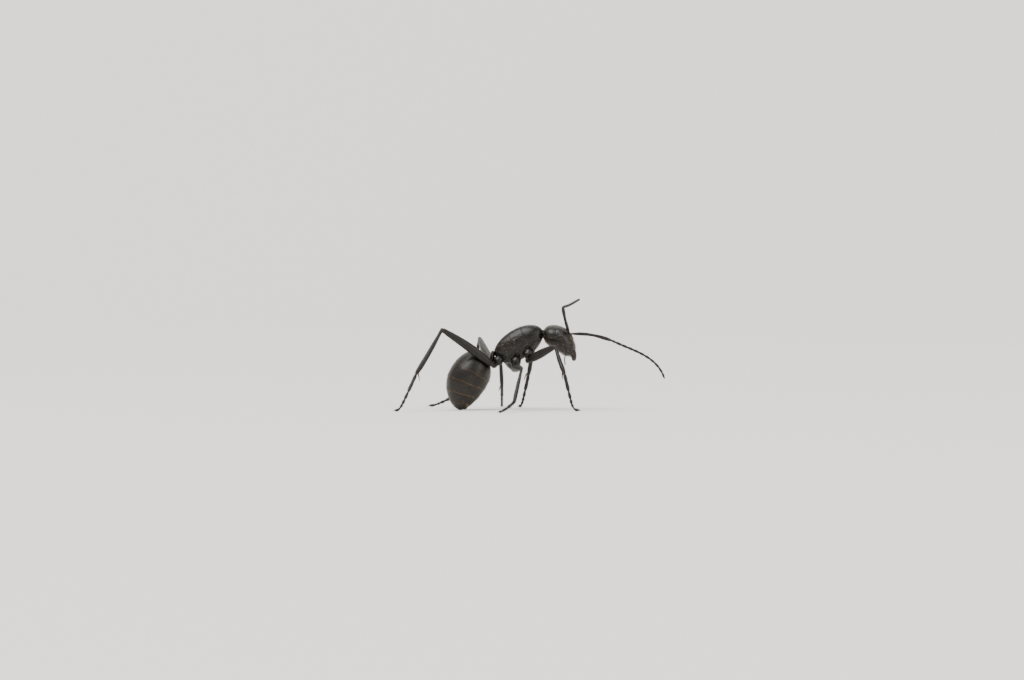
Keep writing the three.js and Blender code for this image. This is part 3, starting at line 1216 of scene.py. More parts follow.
@dataclass
class Petiole:
    """The waist: a short stalk that carries one upright scale.

    Attributes:
        scale: The scale, from its foot to its top.
        front: Front end of the stalk, in mm.
        rear: Rear end of the stalk, in mm.
    """

    scale: Body = Body(
        ((-3.66, 4.05), (-3.6, 4.6), (-3.52, 5.36)),
        Swell(0.27, 0.35, 2.0, 2.2),
        Swell(0.25, 0.35, 2.0, 2.2),
        Swell(0.52, 0.4, 2.0, 2.8),
    )
    front: tuple[float, float, float] = (-2.95, 0.0, 4.72)
    rear: tuple[float, float, float] = (-4.3, 0.0, 4.1)

    def build(self, bench: Bench) -> None:
        """Models and finishes the waist."""
        outline = ((0, 0.2), (0.3, 0.25), (0.55, 0.3), (0.8, 0.24), (1, 0.18))
        stalk = Shaft(outline, flat=1.1, steps=8).between("stalk", Vector(self.front), Vector(self.rear))
        keel = ball("keel", Vector((-3.45, 0, 4.24)), (0.3, 0.1, 0.12), 3)
        waist = joined("petiole_scale", [self.scale.made("scale", 20, 24), stalk, keel])
        fuse(waist, 0.018, 5)
        axis = (self.scale.point(0.98, 0), self.scale.point(0.02, 0))
        bench.finish(waist, Finish.PLATE, "body_cuticle", ["petiole"], axis, crease=80)


# ---------------------------------------------------------------- gaster


@dataclass
class Gaster:
    """The gaster: five rings of plates that overlap like roof tiles, tergites behind and sternites in front.

    Attributes:
        body: The whole gaster from crest to tip.
        overlap: How far a plate reaches under the one before it, in mm.
        lift: How far a plate's hind margin stands proud, in mm.
        tuck: How far a plate's front edge is pressed in, in mm.
        shell: Thickness of a plate, in mm.
        belly: How far in front of the axis the tergites end, in mm.
    """

    body: Body = Body(
        ((-4.98, 5.34), (-5.76, 2.67), (-6.54, 0.0)),
        Swell(1.86, 0.38, 2.0, 1.55),
        Swell(1.9, 0.52, 1.8, 1.8),
        Swell(1.8, 0.42, 2.1, 1.8),
    )
    overlap: float = 0.16
    lift: float = 0.022
    tuck: float = 0.06
    shell: float = 0.045
    belly: float = 0.62

    def cuts(self) -> list[Seam]:
        """The four seams between the five rings."""
        return [seam(f"gaster_{k}", f"gaster_{k + 1}") for k in range(1, 5)]

    def band(self, name: str, whole: Mesh, front: Seam | None, rear: Seam | None) -> Mesh:
        """Cuts one plate's band out of a whole skin and tucks its front edge under the band before it.

        Args:
            name: Name of the object.
            whole: The whole skin.
            front: The seam before the band, if it has one.
            rear: The seam behind it, if it has one.

        Returns:
            The open band.
        """
        plate = copy_of(whole, name)
        with editing(plate):
            if rear is not None:
                bpy.ops.mesh.select_all(action="SELECT")
                bpy.ops.mesh.bisect(plane_co=rear.centre, plane_no=rear.normal, clear_outer=True)
                self.press(self.lift, 0.45)
            if front is not None:
                under = front.centre - front.normal * self.overlap
                bpy.ops.mesh.select_all(action="SELECT")
                bpy.ops.mesh.bisect(plane_co=under, plane_no=front.normal, clear_inner=True)
                self.press(-self.tuck, 0.3)
        return plate

    def press(self, value: float, size: float) -> None:
        """Moves the selected edge in or out, and the skin near it less and less, in mm."""
        bpy.ops.transform.shrink_fatten(
            value=value,
            use_proportional_edit=True,
            proportional_edit_falloff="SMOOTH",
            proportional_size=size,
        )

    def half(self, plate: Mesh, tergite: bool) -> Mesh:
        """Keeps the part of a band that is tergite or sternite, and gives it its thickness.

        Args:
            plate: The band.
            tergite: Whether the part behind is kept.

        Returns:
            The plate.
        """
        ring = self.body.ring(0.5)
        forward = Vector((-math.sin(ring.pitch), 0, math.cos(ring.pitch)))
        middle = Vector((-5.76, 0, 2.67))
        with editing(plate):
            bpy.ops.mesh.select_all(action="SELECT")
            reach = self.belly if tergite else self.belly - self.overlap
            edge = middle + forward * reach
            way = forward if tergite else -forward
            bpy.ops.mesh.bisect(plane_co=edge, plane_no=way, clear_outer=True)
            self.press(self.lift if tergite else -self.lift, 0.3)
        apply(plate, "SOLIDIFY", thickness=self.shell, offset=-1.0)
        return plate

    def build(self, bench: Bench) -> None:
        """Models and finishes the plates and the spray nozzle at the tip."""
        whole = self.body.made("gaster", steps=44, sides=60)
        seams = [None, *self.cuts(), None]
        axis = (self.body.point(0.02, 0), self.body.point(0.98, 0))
        for k in range(5):
            front, rear = seams[k], seams[k + 1]
            halves = [
                self.half(self.band("half", whole, front, rear), tergite) for tergite in (True, False)
            ]
            plate = joined(f"gaster_ring_{k + 1}", halves)
            fade = (lambda co: 0.0) if rear is None else self.margin(rear)
            bench.finish(plate, Finish.GASTER, "body_cuticle", [f"gaster_{k + 1}"], axis, fade, 50)
        bpy.data.objects.remove(whole)
        nozzle = self.nozzle()
        bench.finish(nozzle, Finish.LIMB, "body_cuticle", [], axis)

    def margin(self, rear: Seam) -> Callable[[Vector], float]:
        """How far a place of a plate belongs to its thin hind margin."""
        return lambda co: 1.0 - abs((co - rear.centre).dot(rear.normal)) / 0.065

    def nozzle(self) -> Mesh:
        """Models the round opening at the tip, a short cone with a rim."""
        at, out = self.body.point(0.945, 0), self.body.outward(0.945, 0)
        cone = Shaft(((0, 0.2), (0.5, 0.15), (1, 0.085)), steps=5, domes=(1.0, 0.2))
        tip = cone.between("acidopore", at - out * 0.14, at + out * 0.06)
        rim = seat(torus(0.07, 0.022), at + out * 0.06, out.orthogonal(), out)
        nozzle = joined("acidopore", [tip, rim])
        fuse(nozzle, 0.012, 2)
        return nozzle


# ---------------------------------------------------------------- legs


@dataclass(frozen=True)
class LegSize:
    """Sizes of one pair of legs, in mm.

    Attributes:
        root: Where the left leg's coxa hangs from the body.
        coxa: Greatest radius of the coxa.
        trochanter: Greatest radius of the trochanter.
        femur: Greatest radius of the femur.
        tibia: Radii of the tibia below the knee and at its end.
        tarsus: Radii of the tarsus at its start and near its end.
        spur: Length of the spur at the end of the tibia, and how far it stands off it in degrees.
        bow: How far the femur bows outwards.
    """

    root: tuple[float, float, float]
    coxa: float
    trochanter: float
    femur: float
    tibia: tuple[float, float]
    tarsus: tuple[float, float]
    spur: tuple[float, float]
    bow: float


SIZES = {
    Pair.FRONT: LegSize((-0.2, 0.44, 5.6), 0.55, 0.25, 0.4, (0.15, 0.21), (0.17, 0.137), (0.8, 30), 0.05),
    Pair.MIDDLE: LegSize((-1.26, 0.46, 4.82), 0.48, 0.225, 0.35, (0.14, 0.19), (0.148, 0.12), (0.64, 28), 0.07),
    Pair.HIND: LegSize((-2.75, 0.5, 4.82), 0.45, 0.25, 0.41, (0.16, 0.225), (0.162, 0.132), (0.84, 46), 0.1),
}


@dataclass
class Leg:
    """One leg from coxa to claws.

    Attributes:
        pair: Its pair.
        side: Its side.
        shares: Shares of the tarsus at which its five joints end.
        claw: Length of a claw, in mm.
    """

    pair: Pair
    side: Side
    shares: tuple[float, ...] = (0.43, 0.61, 0.73, 0.81, 1.0)
    claw: float = 0.3
    coxa_outline: tuple[tuple[float, float], ...] = ((0, 0.96), (0.25, 1.0), (0.6, 0.87), (1, 0.54))
    femur_outline: tuple[tuple[float, float], ...] = ((0, 0.6), (0.1, 0.84), (0.32, 1), (0.7, 0.86), (0.93, 0.64), (1, 0.54))
    joints: list[Vector] = field(init=False)

    def __post_init__(self) -> None:
        """Reads the leg's joints off the solids."""
        names = [f"{part}_{self.key}" for part in ("coxa", "trochanter", "femur", "tibia", "tarsus")]
        seams = [seam(a, b).centre for a, b in zip(names, names[1:])]
        x, y, z = self.size.root
        self.joints = [Vector((x, y * self.side.value, z)), *seams]

    @property
    def key(self) -> str:
        """Name of the leg, such as front_left."""
        return f"{self.pair.value}_{self.side.name.lower()}"

    @property
    def size(self) -> LegSize:
        """Sizes of its pair."""
        return SIZES[self.pair]

    def path(self) -> list[Vector]:
        """Points along the middle of the tarsus, from the ankle to its end on the ground."""
        thin = self.size.tarsus[1]
        sole = corners(f"tarsus_{self.key}")
        sole = sole[sole[:, 2] < 0.01]
        ankle = self.joints[4]
        far = np.argsort(np.hypot(sole[:, 0] - ankle.x, sole[:, 1] - ankle.y))
        toe = Vector(sole[far[-3:]].mean(axis=0))
        level = Vector((toe.x - ankle.x, toe.y - ankle.y, 0)).normalized()
        heel = toe - level * 0.62
        toe.z, heel.z = thin * 1.02, thin * 1.3
        knots = [ankle, ankle.lerp(heel, 0.55) - UP * 0.05, heel, toe]
        for _ in range(4):  # cuts the corners off, so that the foot bends evenly
            pairs = list(zip(knots, knots[1:]))
            inner = [a.lerp(b, share) for a, b in pairs for share in (0.25, 0.75)]
            knots = [knots[0], *inner[1:-1], knots[-1]]
        return knots

    def build(self, bench: Bench) -> list[Mesh]:
        """Models and finishes the leg.

        Args:
            bench: Takes the finished pieces.

        Returns:
            The soft membranes of its joints, not yet finished.
        """
        root, hip, saddle, knee, ankle = self.joints
        size = self.size
        thigh, shin = (knee - saddle).normalized(), (ankle - knee).normalized()
        back = (-thigh - shin * (-thigh).dot(shin)).normalized()
        crest = (-back + UP * 0.2).normalized()
        self.segment(bench, "coxa", self.scaled(self.coxa_outline, size.coxa), root, hip, UP, 0.02)
        ring = ((0, 0.84), (0.35, 1.0), (0.7, 0.96), (1, 0.8))
        self.segment(bench, "trochanter", self.scaled(ring, size.trochanter), hip, saddle, UP, 0.09)
        self.segment(
            bench, "femur", self.scaled(self.femur_outline, size.femur, 0.88, size.bow), saddle, knee, crest, 0.05
        )
        thin, thick = size.tibia
        outline = ((0, thin), (0.1, thin * 0.96), (0.35, (thin + 2 * thick) / 3), (0.65, thick), (0.92, thick), (1, thick * 0.84))
        tibia = Shaft(outline, 0.92, bow=-0.05).between("tibia", knee - shin * 0.06, ankle + shin * 0.04, crest)
        parts = [tibia, *self.spurs(ankle, shin, back)]
        self.finish(bench, joined(f"leg_{self.key}_tibia", parts), "tibia", Finish.LIMB, knee, ankle)
        path = self.path()
        self.tarsus(bench, path)
        self.claws(bench, path)
        soft = [(hip, size.trochanter * 0.78), (saddle, size.trochanter * 0.6), (knee, thin * 1.0)]
        soft.append((ankle, size.tarsus[0] * 0.8))
        soft += [(part_way(path, s), size.tarsus[1] * 0.72) for s in self.shares[:-1]]
        return [ball("membrane", at, radius, 2) for at, radius in soft]

    def scaled(
        self,
        outline: tuple[tuple[float, float], ...],
        radius: float,
        flat: float = 1.0,
        bow: float = 0.0,
    ) -> Shaft:
        """Makes a shaft of an outline given in shares of its greatest radius."""
        return Shaft(tuple((place, share * radius) for place, share in outline), flat, bow=bow)

    def segment(
        self, bench: Bench, part: str, shaft: Shaft, start: Vector, end: Vector, up: Vector, over: float
    ) -> None:
        """Models and finishes one plain segment, a little longer than its joints are apart."""
        way = (end - start).normalized() * over
        piece = shaft.between(f"leg_{self.key}_{part}", start - way, end + way, up)
        self.finish(bench, piece, part, Finish.PLATE if part == "coxa" else Finish.LIMB, start, end)

    def finish(self, bench: Bench, piece: Mesh, part: str, finish: Finish, start: Vector, end: Vector) -> None:
        """Finishes a segment, paler towards its joints."""
        slot = "body_cuticle" if part == "coxa" else "limb_cuticle"
        shade = lambda co: 1 - min((co - start).length, (co - end).length) / 0.32
        bench.finish(piece, finish, slot, [f"{part}_{self.key}"], (start, end), shade, 60)

    def spurs(self, ankle: Vector, shin: Vector, back: Vector) -> list[Mesh]:
        """Models the spur at the end of the tibia, with its comb on a front leg, and the bristles beside it."""
        front = self.pair is Pair.FRONT
        if self.pair is not Pair.HIND:  # only a hind leg's foot bends towards its own thigh
            back = (Vector((-1, 0, 0)) + shin * shin.x).normalized()
        root = ankle - shin * 0.12 + back * self.size.tibia[1] * 0.5
        length, splay = self.size.spur[0], math.radians(self.size.spur[1])
        spur = Hook(length, 0.085 if front else 0.066, 26 if front else 12, 0.75)
        pieces = [spur.made("spur", steps=12)]
        if front:
            for k in range(14):
                x, z, pitch = spur.at(0.14 + 0.055 * k)
                tooth = Hook(0.085, 0.008, 0).made("comb", 5, 2)
                way = Vector((math.cos(pitch - 1.1), 0, math.sin(pitch - 1.1)))
                pieces.append(seat(tooth, Vector((x, 0, z)), way, Vector((0, 1, 0))))
        parts = [seat(joined("spur", pieces), root, shin * math.cos(splay) + back * math.sin(splay), back)]
        across = shin.cross(back)
        for k in range(6):
            turn = Matrix.Rotation(math.radians(60 * k + 20), 3, shin)
            stub = Hook(0.16, 0.014, 10).made("bristle", 6, 3)
            parts.append(seat(stub, ankle - shin * 0.1 + turn @ across * self.size.tibia[1] * 0.75, shin + turn @ across * 0.5, shin))
        return parts

    def tarsus(self, bench: Bench, path: list[Vector]) -> None:
        """Models and finishes the five joints of the foot.

        Args:
            bench: Takes the finished piece.
            path: The foot's middle line.
        """
        first, last = self.size.tarsus
        parts = []
        start = 0.0
        for k, end in enumerate(self.shares):
            a, b = part_way(path, start), part_way(path, end)
            wide = first + (last - first) * min(1.0, 0.4 + 0.2 * k) if k else first
            if k == 0:
                outline = ((0, wide * 0.72), (0.08, wide * 0.92), (0.5, wide * 0.88), (0.92, wide), (1, wide * 0.85))
            elif k < 4:
                outline = ((0, wide * 0.66), (0.2, wide * 0.8), (0.85, wide), (1, wide * 0.9))
            else:
                outline = ((0, wide * 0.6), (0.25, wide * 0.7), (0.8, wide), (1, wide * 0.8))
            off = part_way(path, (start + end) / 2) - (a + b) / 2
            off -= (b - a) * off.dot(b - a) / (b - a).length_squared
            joint = Shaft(outline, 1.0, (0.8, 0.6), off.length, 7)
            parts.append(joint.between("joint", a, b, off.normalized() if off.length > 1e-4 else UP, 12))
            start = end
        foot = joined(f"leg_{self.key}_tarsus", parts)
        self.finish(bench, foot, "tarsus", Finish.TARSUS, path[0], path[-1])

    def claws(self, bench: Bench, path: list[Vector]) -> None:
        """Models and finishes the two claws and the pad between them.

        Args:
            bench: Takes the finished piece.
            path: The foot's middle line.
        """
        toe, level = path[-1], (path[-1] - path[-3]).normalized()
        level.z = 0
        level.normalize()
        left = UP.cross(level)
        parts = []
        for sign in (1, -1):
            claw = Hook(self.claw, 0.036, 88, 0.7).made("claw")
            root = toe - level * 0.05 + left * sign * 0.035 + UP * 0.0
            parts.append(seat(claw, root, level + left * sign * 0.75 + UP * 0.35))
        pad = ball("pad", Vector(), (0.075, 0.05, 0.035), 2)
        parts.append(seat(pad, toe + level * 0.07 - UP * 0.01, level))
        claws = joined(f"leg_{self.key}_claws", parts)
        lowest = min(vertex.co.z for vertex in claws.data.vertices)
        with editing(claws):
            bpy.ops.mesh.select_all(action="SELECT")
            bpy.ops.transform.translate(value=(0, 0, 0.004 - lowest))
        bench.finish(claws, Finish.JAW, "limb_cuticle", [], (toe, toe + level))


# ---------------------------------------------------------------- feelers


@dataclass
class Feeler:
    """One elbowed feeler: scape, pedicel and ten joints of the flagellum.

    Attributes:
        side: Its side.
        scape_radii: Radii of the scape near its root and at its end, in mm.
        joint_radius: Radius of a joint of the flagellum at its end, in mm.
        joints: Number of joints of the flagellum, with the pedicel.
    """

    side: Side
    scape_radii: tuple[float, float] = (0.11, 0.165)
    joint_radius: float = 0.134
    joints: int = 11

    def build(self, bench: Bench) -> list[Mesh]:
        """Models and finishes the feeler.

        Args:
            bench: Takes the finished pieces.

        Returns:
            The soft membranes of its joints, not yet finished.
        """
        word = self.side.name.lower()
        at, out = Head().hinge(self.side)
        socket = at - out * 0.02
        elbow = seam(f"scape_{word}", f"flagellum_{word}").centre
        line = centreline(f"scape_{word}", socket, 0.0)
        chord = (elbow - socket).normalized()
        across = part_way(line, 0.5) - socket
        sag = across - chord * across.dot(chord)
        thin, thick = self.scape_radii
        outline = ((0, thin * 0.62), (0.04, thin * 0.66), (0.1, thin), (0.6, (thin + thick) / 2.05), (0.93, thick), (1, thick * 0.85))
        rod = Shaft(outline, 0.9, bow=sag.length, steps=14).between("scape", socket, elbow, sag.normalized())
        way = (chord + sag * math.pi / (elbow - socket).length).normalized()
        foot = ball("knob", socket, 0.125, 3)
        neck = Shaft(((0, 0.085), (0.5, 0.08), (1, 0.105)), steps=4)
        scape = joined(f"feeler_{word}_scape", [rod, foot, neck.between("neck", socket, socket + way * 0.45)])
        shade = lambda co: 1 - min((co - socket).length, (co - elbow).length) / 0.35
        bench.finish(scape, Finish.LIMB, "limb_cuticle", [f"scape_{word}"], (socket, elbow), shade, 60)
        path = centreline(f"flagellum_{word}", elbow, 0.02)
        ends = [0.0, 0.07] + [0.07 + 0.93 * (k + 1) / (self.joints - 1) for k in range(self.joints - 1)]
        parts, soft = [], [ball("membrane", elbow, 0.095, 2)]
        for k in range(self.joints):
            a, b = part_way(path, ends[k]), part_way(path, ends[k + 1])
            wide = self.joint_radius * (0.88 if k == 0 else 1.0 - 0.02 * (k - 1))
            outline = ((0, wide * 0.78), (0.15, wide * 0.88), (0.8, wide), (1, wide * 0.92))
            if k == self.joints - 1:
                outline = ((0, wide * 0.78), (0.15, wide * 0.9), (0.6, wide * 0.95), (1, wide * 0.45))
            joint = Shaft(outline, steps=6, domes=(0.7, 0.5))
            way = (b - a).normalized() * 0.012
            parts.append(joint.between("joint", a - way, b + way, Vector((0.02, 0.03, 1)), 12))
        flagellum = joined(f"feeler_{word}_flagellum", parts)
        shade = lambda co: 0.25
        axis = (path[0], path[-1])
        bench.finish(flagellum, Finish.TARSUS, "limb_cuticle", [f"flagellum_{word}"], axis, shade, 60)
        return soft


# ---------------------------------------------------------------- coat


@dataclass
class Hairs:
    """One kind of hair on some pieces.

    Attributes:
        count: Number of hairs.
        length: Shortest and longest hair, in mm.
        radius: Radius at the root, in mm.
        lean: How far a hair leans back along the skin: 0 stands, 1 lies nearly flat.
        curl: How far its tip bends over, as a share of its length.
        where: Which places of the skin bear them, in mm.
        sections: Number of rings of a hair.
    """

    count: int
    length: tuple[float, float]
    radius: float
    lean: float
    curl: float = 0.15
    where: Where = lambda co: True
    sections: int = 2


@dataclass
class Coat:
    """A piece of solid hairs that grow on finished pieces.

    Attributes:
        name: Name of the piece.
        hosts: Names of the pieces it grows on.
        kinds: The kinds of hair.
        finish: Their finish.
        seed: Seed of the scatter.
    """

    name: str
    hosts: list[str]
    kinds: list[Hairs]
    finish: Finish
    seed: int

    def build(self, bench: Bench, cover: BVHTree) -> None:
        """Grows the hairs and finishes the piece.

        Args:
            bench: Holds the pieces they grow on.
            cover: All the skins, under which no hair roots.
        """
        rng = np.random.default_rng(self.seed)
        points, faces, patches = [], [], []
        base = 0
        for kind in self.kinds:
            roots = self.roots(bench, kind, rng, cover)
            for part, rows, marks in self.grown(kind, rng, *roots):
                points.append(part)
                faces.append(rows + base)
                patches.append(marks)
                base += len(part)
        mesh = bpy.data.meshes.new(self.name)
        corners_of = np.concatenate(faces)
        mesh.from_pydata(np.concatenate(points).tolist(), [], corners_of.tolist())
        piece = bpy.data.objects.new(self.name, mesh)
        bpy.context.scene.collection.objects.link(piece)
        layer = mesh.uv_layers.new(name="OFBake")
        layer.data.foreach_set("uv", np.concatenate(patches)[corners_of.ravel()].ravel())
        mesh.materials.append(self.finish.material)
        choose(piece)
        bpy.ops.object.shade_smooth()
        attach(piece, "root")
        log.info("%s: %d faces", self.name, len(mesh.polygons))

    def roots(self, bench: Bench, kind: Hairs, rng: np.random.Generator, cover: BVHTree) -> tuple[np.ndarray, ...]:
        """Scatters the roots of one kind of hair.

        Args:
            bench: Holds the pieces they grow on.
            kind: The kind of hair.
            rng: Source of the scatter.
            cover: All the skins.

        Returns:
            Rows of place and outward and backward direction, in mm, and of place on the unwrapped skin.
        """
        places, outs, backs, marks, areas = [], [], [], [], []
        columns = math.ceil(math.sqrt(len(self.hosts)))
        for k, name in enumerate(self.hosts):
            host = bench.pieces[name]
            mesh = host.piece.data
            mesh.calc_loop_triangles()
            spots = np.empty(len(mesh.vertices) * 3, np.float32)
            mesh.vertices.foreach_get("co", spots)
            rows = np.empty(len(mesh.loop_triangles) * 3, np.int32)
            mesh.loop_triangles.foreach_get("vertices", rows)
            triangles = (spots.reshape(-1, 3) / MM)[rows.reshape(-1, 3)]
            cross = np.cross(triangles[:, 1] - triangles[:, 0], triangles[:, 2] - triangles[:, 0])
            area = np.linalg.norm(cross, axis=1)
            share = rng.random((len(area), 2))
            share[share.sum(axis=1) > 1] = 1 - share[share.sum(axis=1) > 1]
            place = (
                triangles[:, 0]
                + share[:, :1] * (triangles[:, 1] - triangles[:, 0])
                + share[:, 1:] * (triangles[:, 2] - triangles[:, 0])
            )
            out = cross / np.maximum(area, 1e-12)[:, None]
            axis = np.array(host.end - host.start)
            length = np.linalg.norm(axis)
            axis /= length
            back = axis - out * (out @ axis)[:, None]
            side = np.cross(axis, (0.31, 0.17, 0.94))
            side /= np.linalg.norm(side)
            other = np.cross(axis, side)
            off = place - np.array(host.start)
            turn = np.arctan2(off @ other, off @ side) / (2 * math.pi) + 0.5
            rise = np.clip((off @ axis) / length, -0.2, 1.2) / 1.4 + 0.143
            mark = (np.column_stack([turn, rise]) * 0.94 + 0.03 + (k % columns, k // columns)) / columns
            for bag, row in zip((places, outs, backs, marks, areas), (place, out, back, mark, area)):
                bag.append(row)
        places, outs, backs, marks = (np.concatenate(bag) for bag in (places, outs, backs, marks))
        area = np.concatenate(areas)
        chosen = rng.choice(len(area), min(kind.count * 3, len(area) * 4), p=area / area.sum())
        kept = []
        for i in chosen:
            if len(kept) == kind.count:
                break
            place, out = Vector(places[i]), Vector(outs[i])
            if not kind.where(place) or place.z < 0.03:
                continue
            if cover.ray_cast(place + out * 0.012, out, 0.5)[0] is None:
                kept.append(i)
        return places[kept], outs[kept], backs[kept], marks[kept]

    def grown(
        self, kind: Hairs, rng: np.random.Generator, place: np.ndarray, out: np.ndarray, back: np.ndarray, mark: np.ndarray
    ) -> Iterator[tuple[np.ndarray, np.ndarray, np.ndarray]]:
        """Grows one hair on each root.

        Args:
            kind: The kind of hair.
            rng: Source of its variety.
            place: Roots, in mm.
            out: Outward directions.
            back: Backward directions along the skin.
            mark: Places on the unwrapped skin.

        Yields:
            Points in metres, triangles, and unwrapped places of the points.
        """
        count = len(place)
        back = back / np.maximum(np.linalg.norm(back, axis=1), 1e-6)[:, None]
        side = np.cross(out, back)
        swing = rng.normal(0, 0.35, count)[:, None]
        back = back * np.cos(swing) + side * np.sin(swing)
        lean = np.clip(kind.lean + rng.normal(0, 0.1, count), 0, 0.93)[:, None]
        rise = np.sqrt(1 - lean**2)
        way = out * rise + back * lean
        length = rng.uniform(*kind.length, count)[:, None]
        dry = (place + (way + back * kind.curl) * length)[:, 2] > 0.02
        place, out, back, way, length, mark = (rows[dry] for rows in (place, out, back, way, length, mark))
        count = len(place)
        across = np.cross(way, out + back * 0.37)
        across /= np.maximum(np.linalg.norm(across, axis=1), 1e-9)[:, None]
        third = np.cross(way, across)
        rings, marks = [], []
        for level in range(kind.sections + 1):
            s = level / kind.sections
            middle = place - out * 0.01 + way * length * s + back * length * kind.curl * s * s
            middle -= out * length * kind.curl * 0.5 * s * s
            middle += out * 0.006 * (s > 0)
            radius = kind.radius * (1 - 0.75 * s)
            for corner in range(3 if level < kind.sections else 1):
                a = corner * 2 * math.pi / 3
                bulge = (across * math.cos(a) + third * math.sin(a)) * (radius if level < kind.sections else 0)
                rings.append(middle + bulge)
                marks.append(mark + 0.0015 * np.array([math.cos(a) * (1 - s), s * 1.9 - 0.95 + 0.04 * math.sin(a)]))
        per = len(rings)
        points = np.stack(rings, axis=1).reshape(-1, 3) * MM
        patches = np.stack(marks, axis=1).reshape(-1, 2)
        rows = [(0, 2, 1)]
        for level in range(kind.sections - 1):
            for c in range(3):
                a, b = level * 3 + c, level * 3 + (c + 1) % 3
                rows += [(a, b, b + 3), (a, b + 3, a + 3)]
        low = (kind.sections - 1) * 3
        rows += [(low + c, low + (c + 1) % 3, per - 1) for c in range(3)]
        triangles = (np.array(rows)[None] + (np.arange(count) * per)[:, None, None]).reshape(-1, 3)
        yield points, triangles, patches


def covering(bench: Bench) -> BVHTree:
    """All the finished skins as one tree, in mm."""
    spots, faces = [], []
    for made in bench.pieces.values():
        base = len(spots)
        spots += [vertex.co / MM for vertex in made.piece.data.vertices]
        faces += [[base + v for v in face.vertices] for face in made.piece.data.polygons]
    return BVHTree.FromPolygons(spots, faces)


# ---------------------------------------------------------------- setting


@dataclass
class Studio:
    """A pale seamless floor, soft lamps and the camera.

    Attributes:
        floor: Colour of the floor and of the room.
        aim: What the camera looks at, in mm.
        distance: How far away it stands, in mm.
        width: Width of what it sees there, in mm.
        lift: How far above the horizon it stands, in degrees.
    """

    floor: str = "#e9e7e3"
    aim: tuple[float, float, float] = (-1.8, 0.0, 6.3)
    distance: float = 700.0
    width: float = 92.2
    lift: float = 1.2

    def ground(self) -> None:
        """Lays a floor that curves up into a far wall."""
        bpy.ops.object.select_all(action="DESELECT")
        bpy.ops.mesh.primitive_plane_add(size=4, location=(0, -0.9, 0))
        plane = bpy.context.object
        plane.name = "floor"
        with editing(plane):
            bpy.ops.mesh.select_mode(type="EDGE")
            mesh = bmesh.from_edit_mesh(plane.data)
            for edge in mesh.edges:
                edge.select_set(all(vertex.co.y > 1.9 for vertex in edge.verts))
            bmesh.update_edit_mesh(plane.data)
            bpy.ops.mesh.extrude_region_move(TRANSFORM_OT_translate={"value": (0, 0, 2.4)})
            bpy.ops.mesh.select_mode(type="VERT")
        apply(plane, "BEVEL", width=0.75, segments=24, affect="EDGES", limit_method="ANGLE")
        choose(plane)
        bpy.ops.object.transform_apply(location=True, rotation=True, scale=True)
        bpy.ops.object.shade_smooth()
        nodes = Nodes("matt_studio_card")
        shader = nodes.add("BsdfPrincipled", {"Base Color": to_linear(self.floor), "Roughness": 0.9})
        nodes.add("OutputMaterial", {"Surface": shader.outputs["BSDF"]})
        plane.data.materials.append(nodes.material)

    def lamp(self, name: str, at: tuple[float, float, float], size: float, watts: float) -> None:
        """Hangs a soft square lamp that faces the ant.

        Args:
            name: Name of the lamp.
            at: Its place, in metres.
            size: Length of its sides, in metres.
            watts: Its power.
        """
        bpy.ops.object.select_all(action="DESELECT")
        bpy.ops.object.light_add(type="AREA", location=at)
        lamp = bpy.context.object
        lamp.name = name
        lamp.data.size, lamp.data.energy = size, watts
        lamp.rotation_euler = (Vector((0, 0, 0.004)) - Vector(at)).to_track_quat("-Z", "Y").to_euler()

    def build(self) -> None:
        """Sets up floor, room light, lamps and camera."""
        self.ground()
        world = bpy.data.worlds.new("room")
        bpy.context.scene.world = world
        world.use_nodes = True
        room = world.node_tree.nodes["Background"]
        room.inputs["Color"].default_value = to_linear(self.floor)
        room.inputs["Strength"].default_value = 0.93
        self.lamp("key", (-0.7, -0.7, 1.5), 1.4, 46.0)
        self.lamp("fill", (1.3, -1.0, 0.7), 1.2, 12.0)
        self.lamp("back", (0.1, 0.6, 1.3), 1.0, 4.0)
        aim = Vector(self.aim) * MM
        angle = math.radians(self.lift)
        away = Vector((0, -math.cos(angle), math.sin(angle)))
        bpy.ops.object.camera_add(location=aim + away * self.distance * MM)
        camera = bpy.context.object
        camera.name = "camera"
        camera.rotation_euler = (-away).to_track_quat("-Z", "Y").to_euler()
        camera.data.sensor_width = 36.0
        camera.data.lens = 36.0 * self.distance / self.width
        camera.data.clip_start, camera.data.clip_end = 0.01, 10.0
        camera.data.dof.use_dof = False
        bpy.context.scene.camera = camera


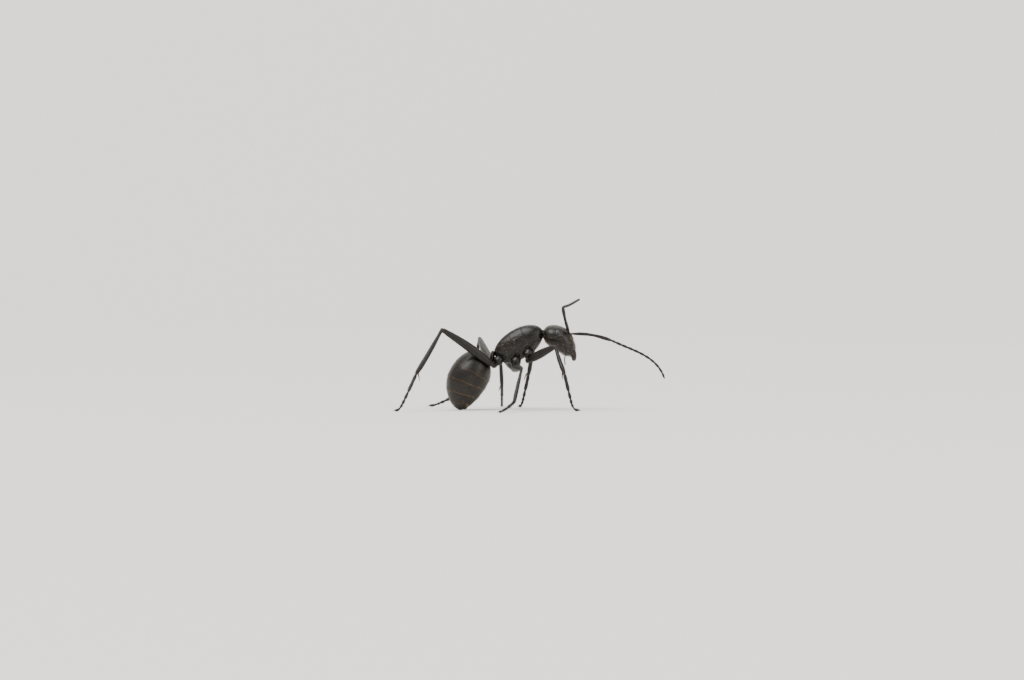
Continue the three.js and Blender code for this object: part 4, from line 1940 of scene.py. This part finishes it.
def coats() -> list[Coat]:
    """The coats of hair: sparse erect bristles, and a fine pile that lies flat."""
    plates = ["pronotum_plate", "mesonotum_plate", "propodeum_plate", "petiole_scale"]
    rings = [f"gaster_ring_{k}" for k in range(1, 6)]
    legs = [
        f"leg_{pair.value}_{side.name.lower()}_{part}"
        for side in Side
        for pair in Pair
        for part in ("coxa", "trochanter", "femur", "tibia", "tarsus")
    ]
    shanks = [name for name in legs if name.endswith(("tibia", "tarsus"))]
    feelers = [f"feeler_{side.name.lower()}_{part}" for side in Side for part in ("scape", "flagellum")]
    above = lambda co: co.z > 5.2
    cuts = Gaster().cuts()
    rows = lambda co: any(0.1 < (cut.centre - co).dot(cut.normal) < 0.22 for cut in cuts)
    return [
        Coat("bristles_head", ["head_capsule"], [Hairs(130, (0.22, 0.45), 0.0075, 0.3, sections=3)], Finish.BRISTLE, 11),
        Coat(
            "bristles_mesosoma",
            plates,
            [Hairs(150, (0.25, 0.5), 0.0075, 0.3, where=above, sections=3)],
            Finish.BRISTLE,
            12,
        ),
        Coat(
            "bristles_gaster",
            rings,
            [
                Hairs(150, (0.3, 0.5), 0.0075, 0.5, where=rows, sections=3),
                Hairs(60, (0.22, 0.4), 0.007, 0.5, sections=3),
            ],
            Finish.BRISTLE,
            13,
        ),
        Coat("bristles_legs", shanks, [Hairs(1500, (0.12, 0.2), 0.0055, 0.6)], Finish.DARK_PILE, 14),
        Coat("pile_head", ["head_capsule"], [Hairs(11000, (0.05, 0.09), 0.0023, 0.9, sections=1)], Finish.PILE, 21),
        Coat("pile_mesosoma", plates, [Hairs(14000, (0.06, 0.1), 0.0023, 0.9, sections=1)], Finish.PILE, 22),
        Coat("pile_gaster", rings, [Hairs(36000, (0.08, 0.13), 0.0024, 0.9, sections=1)], Finish.PILE, 23),
        Coat("pile_legs", legs, [Hairs(26000, (0.06, 0.11), 0.0027, 0.86, sections=1)], Finish.DARK_PILE, 24),
        Coat("pile_feelers", feelers, [Hairs(10000, (0.045, 0.075), 0.0025, 0.84, sections=1)], Finish.DARK_PILE, 25),
    ]


def main() -> None:
    """Builds the ant, its setting and the camera."""
    logging.basicConfig(level=logging.INFO, format="%(message)s")
    bench = Bench()
    Head().build(bench)
    Mesosoma().build(bench)
    Petiole().build(bench)
    Gaster().build(bench)
    soft = []
    for side in Side:
        for pair in Pair:
            soft += Leg(pair, side).build(bench)
        soft += Feeler(side).build(bench)
    axis = (Vector((0, 0, 8)), Vector((0, 0, 0)))
    bench.finish(joined("joint_membranes", soft), Finish.MEMBRANE, "limb_cuticle", [], axis)
    cover = covering(bench)
    for coat in coats():
        coat.build(bench, cover)
    Studio().build()


if __name__ == "__main__":
    main()
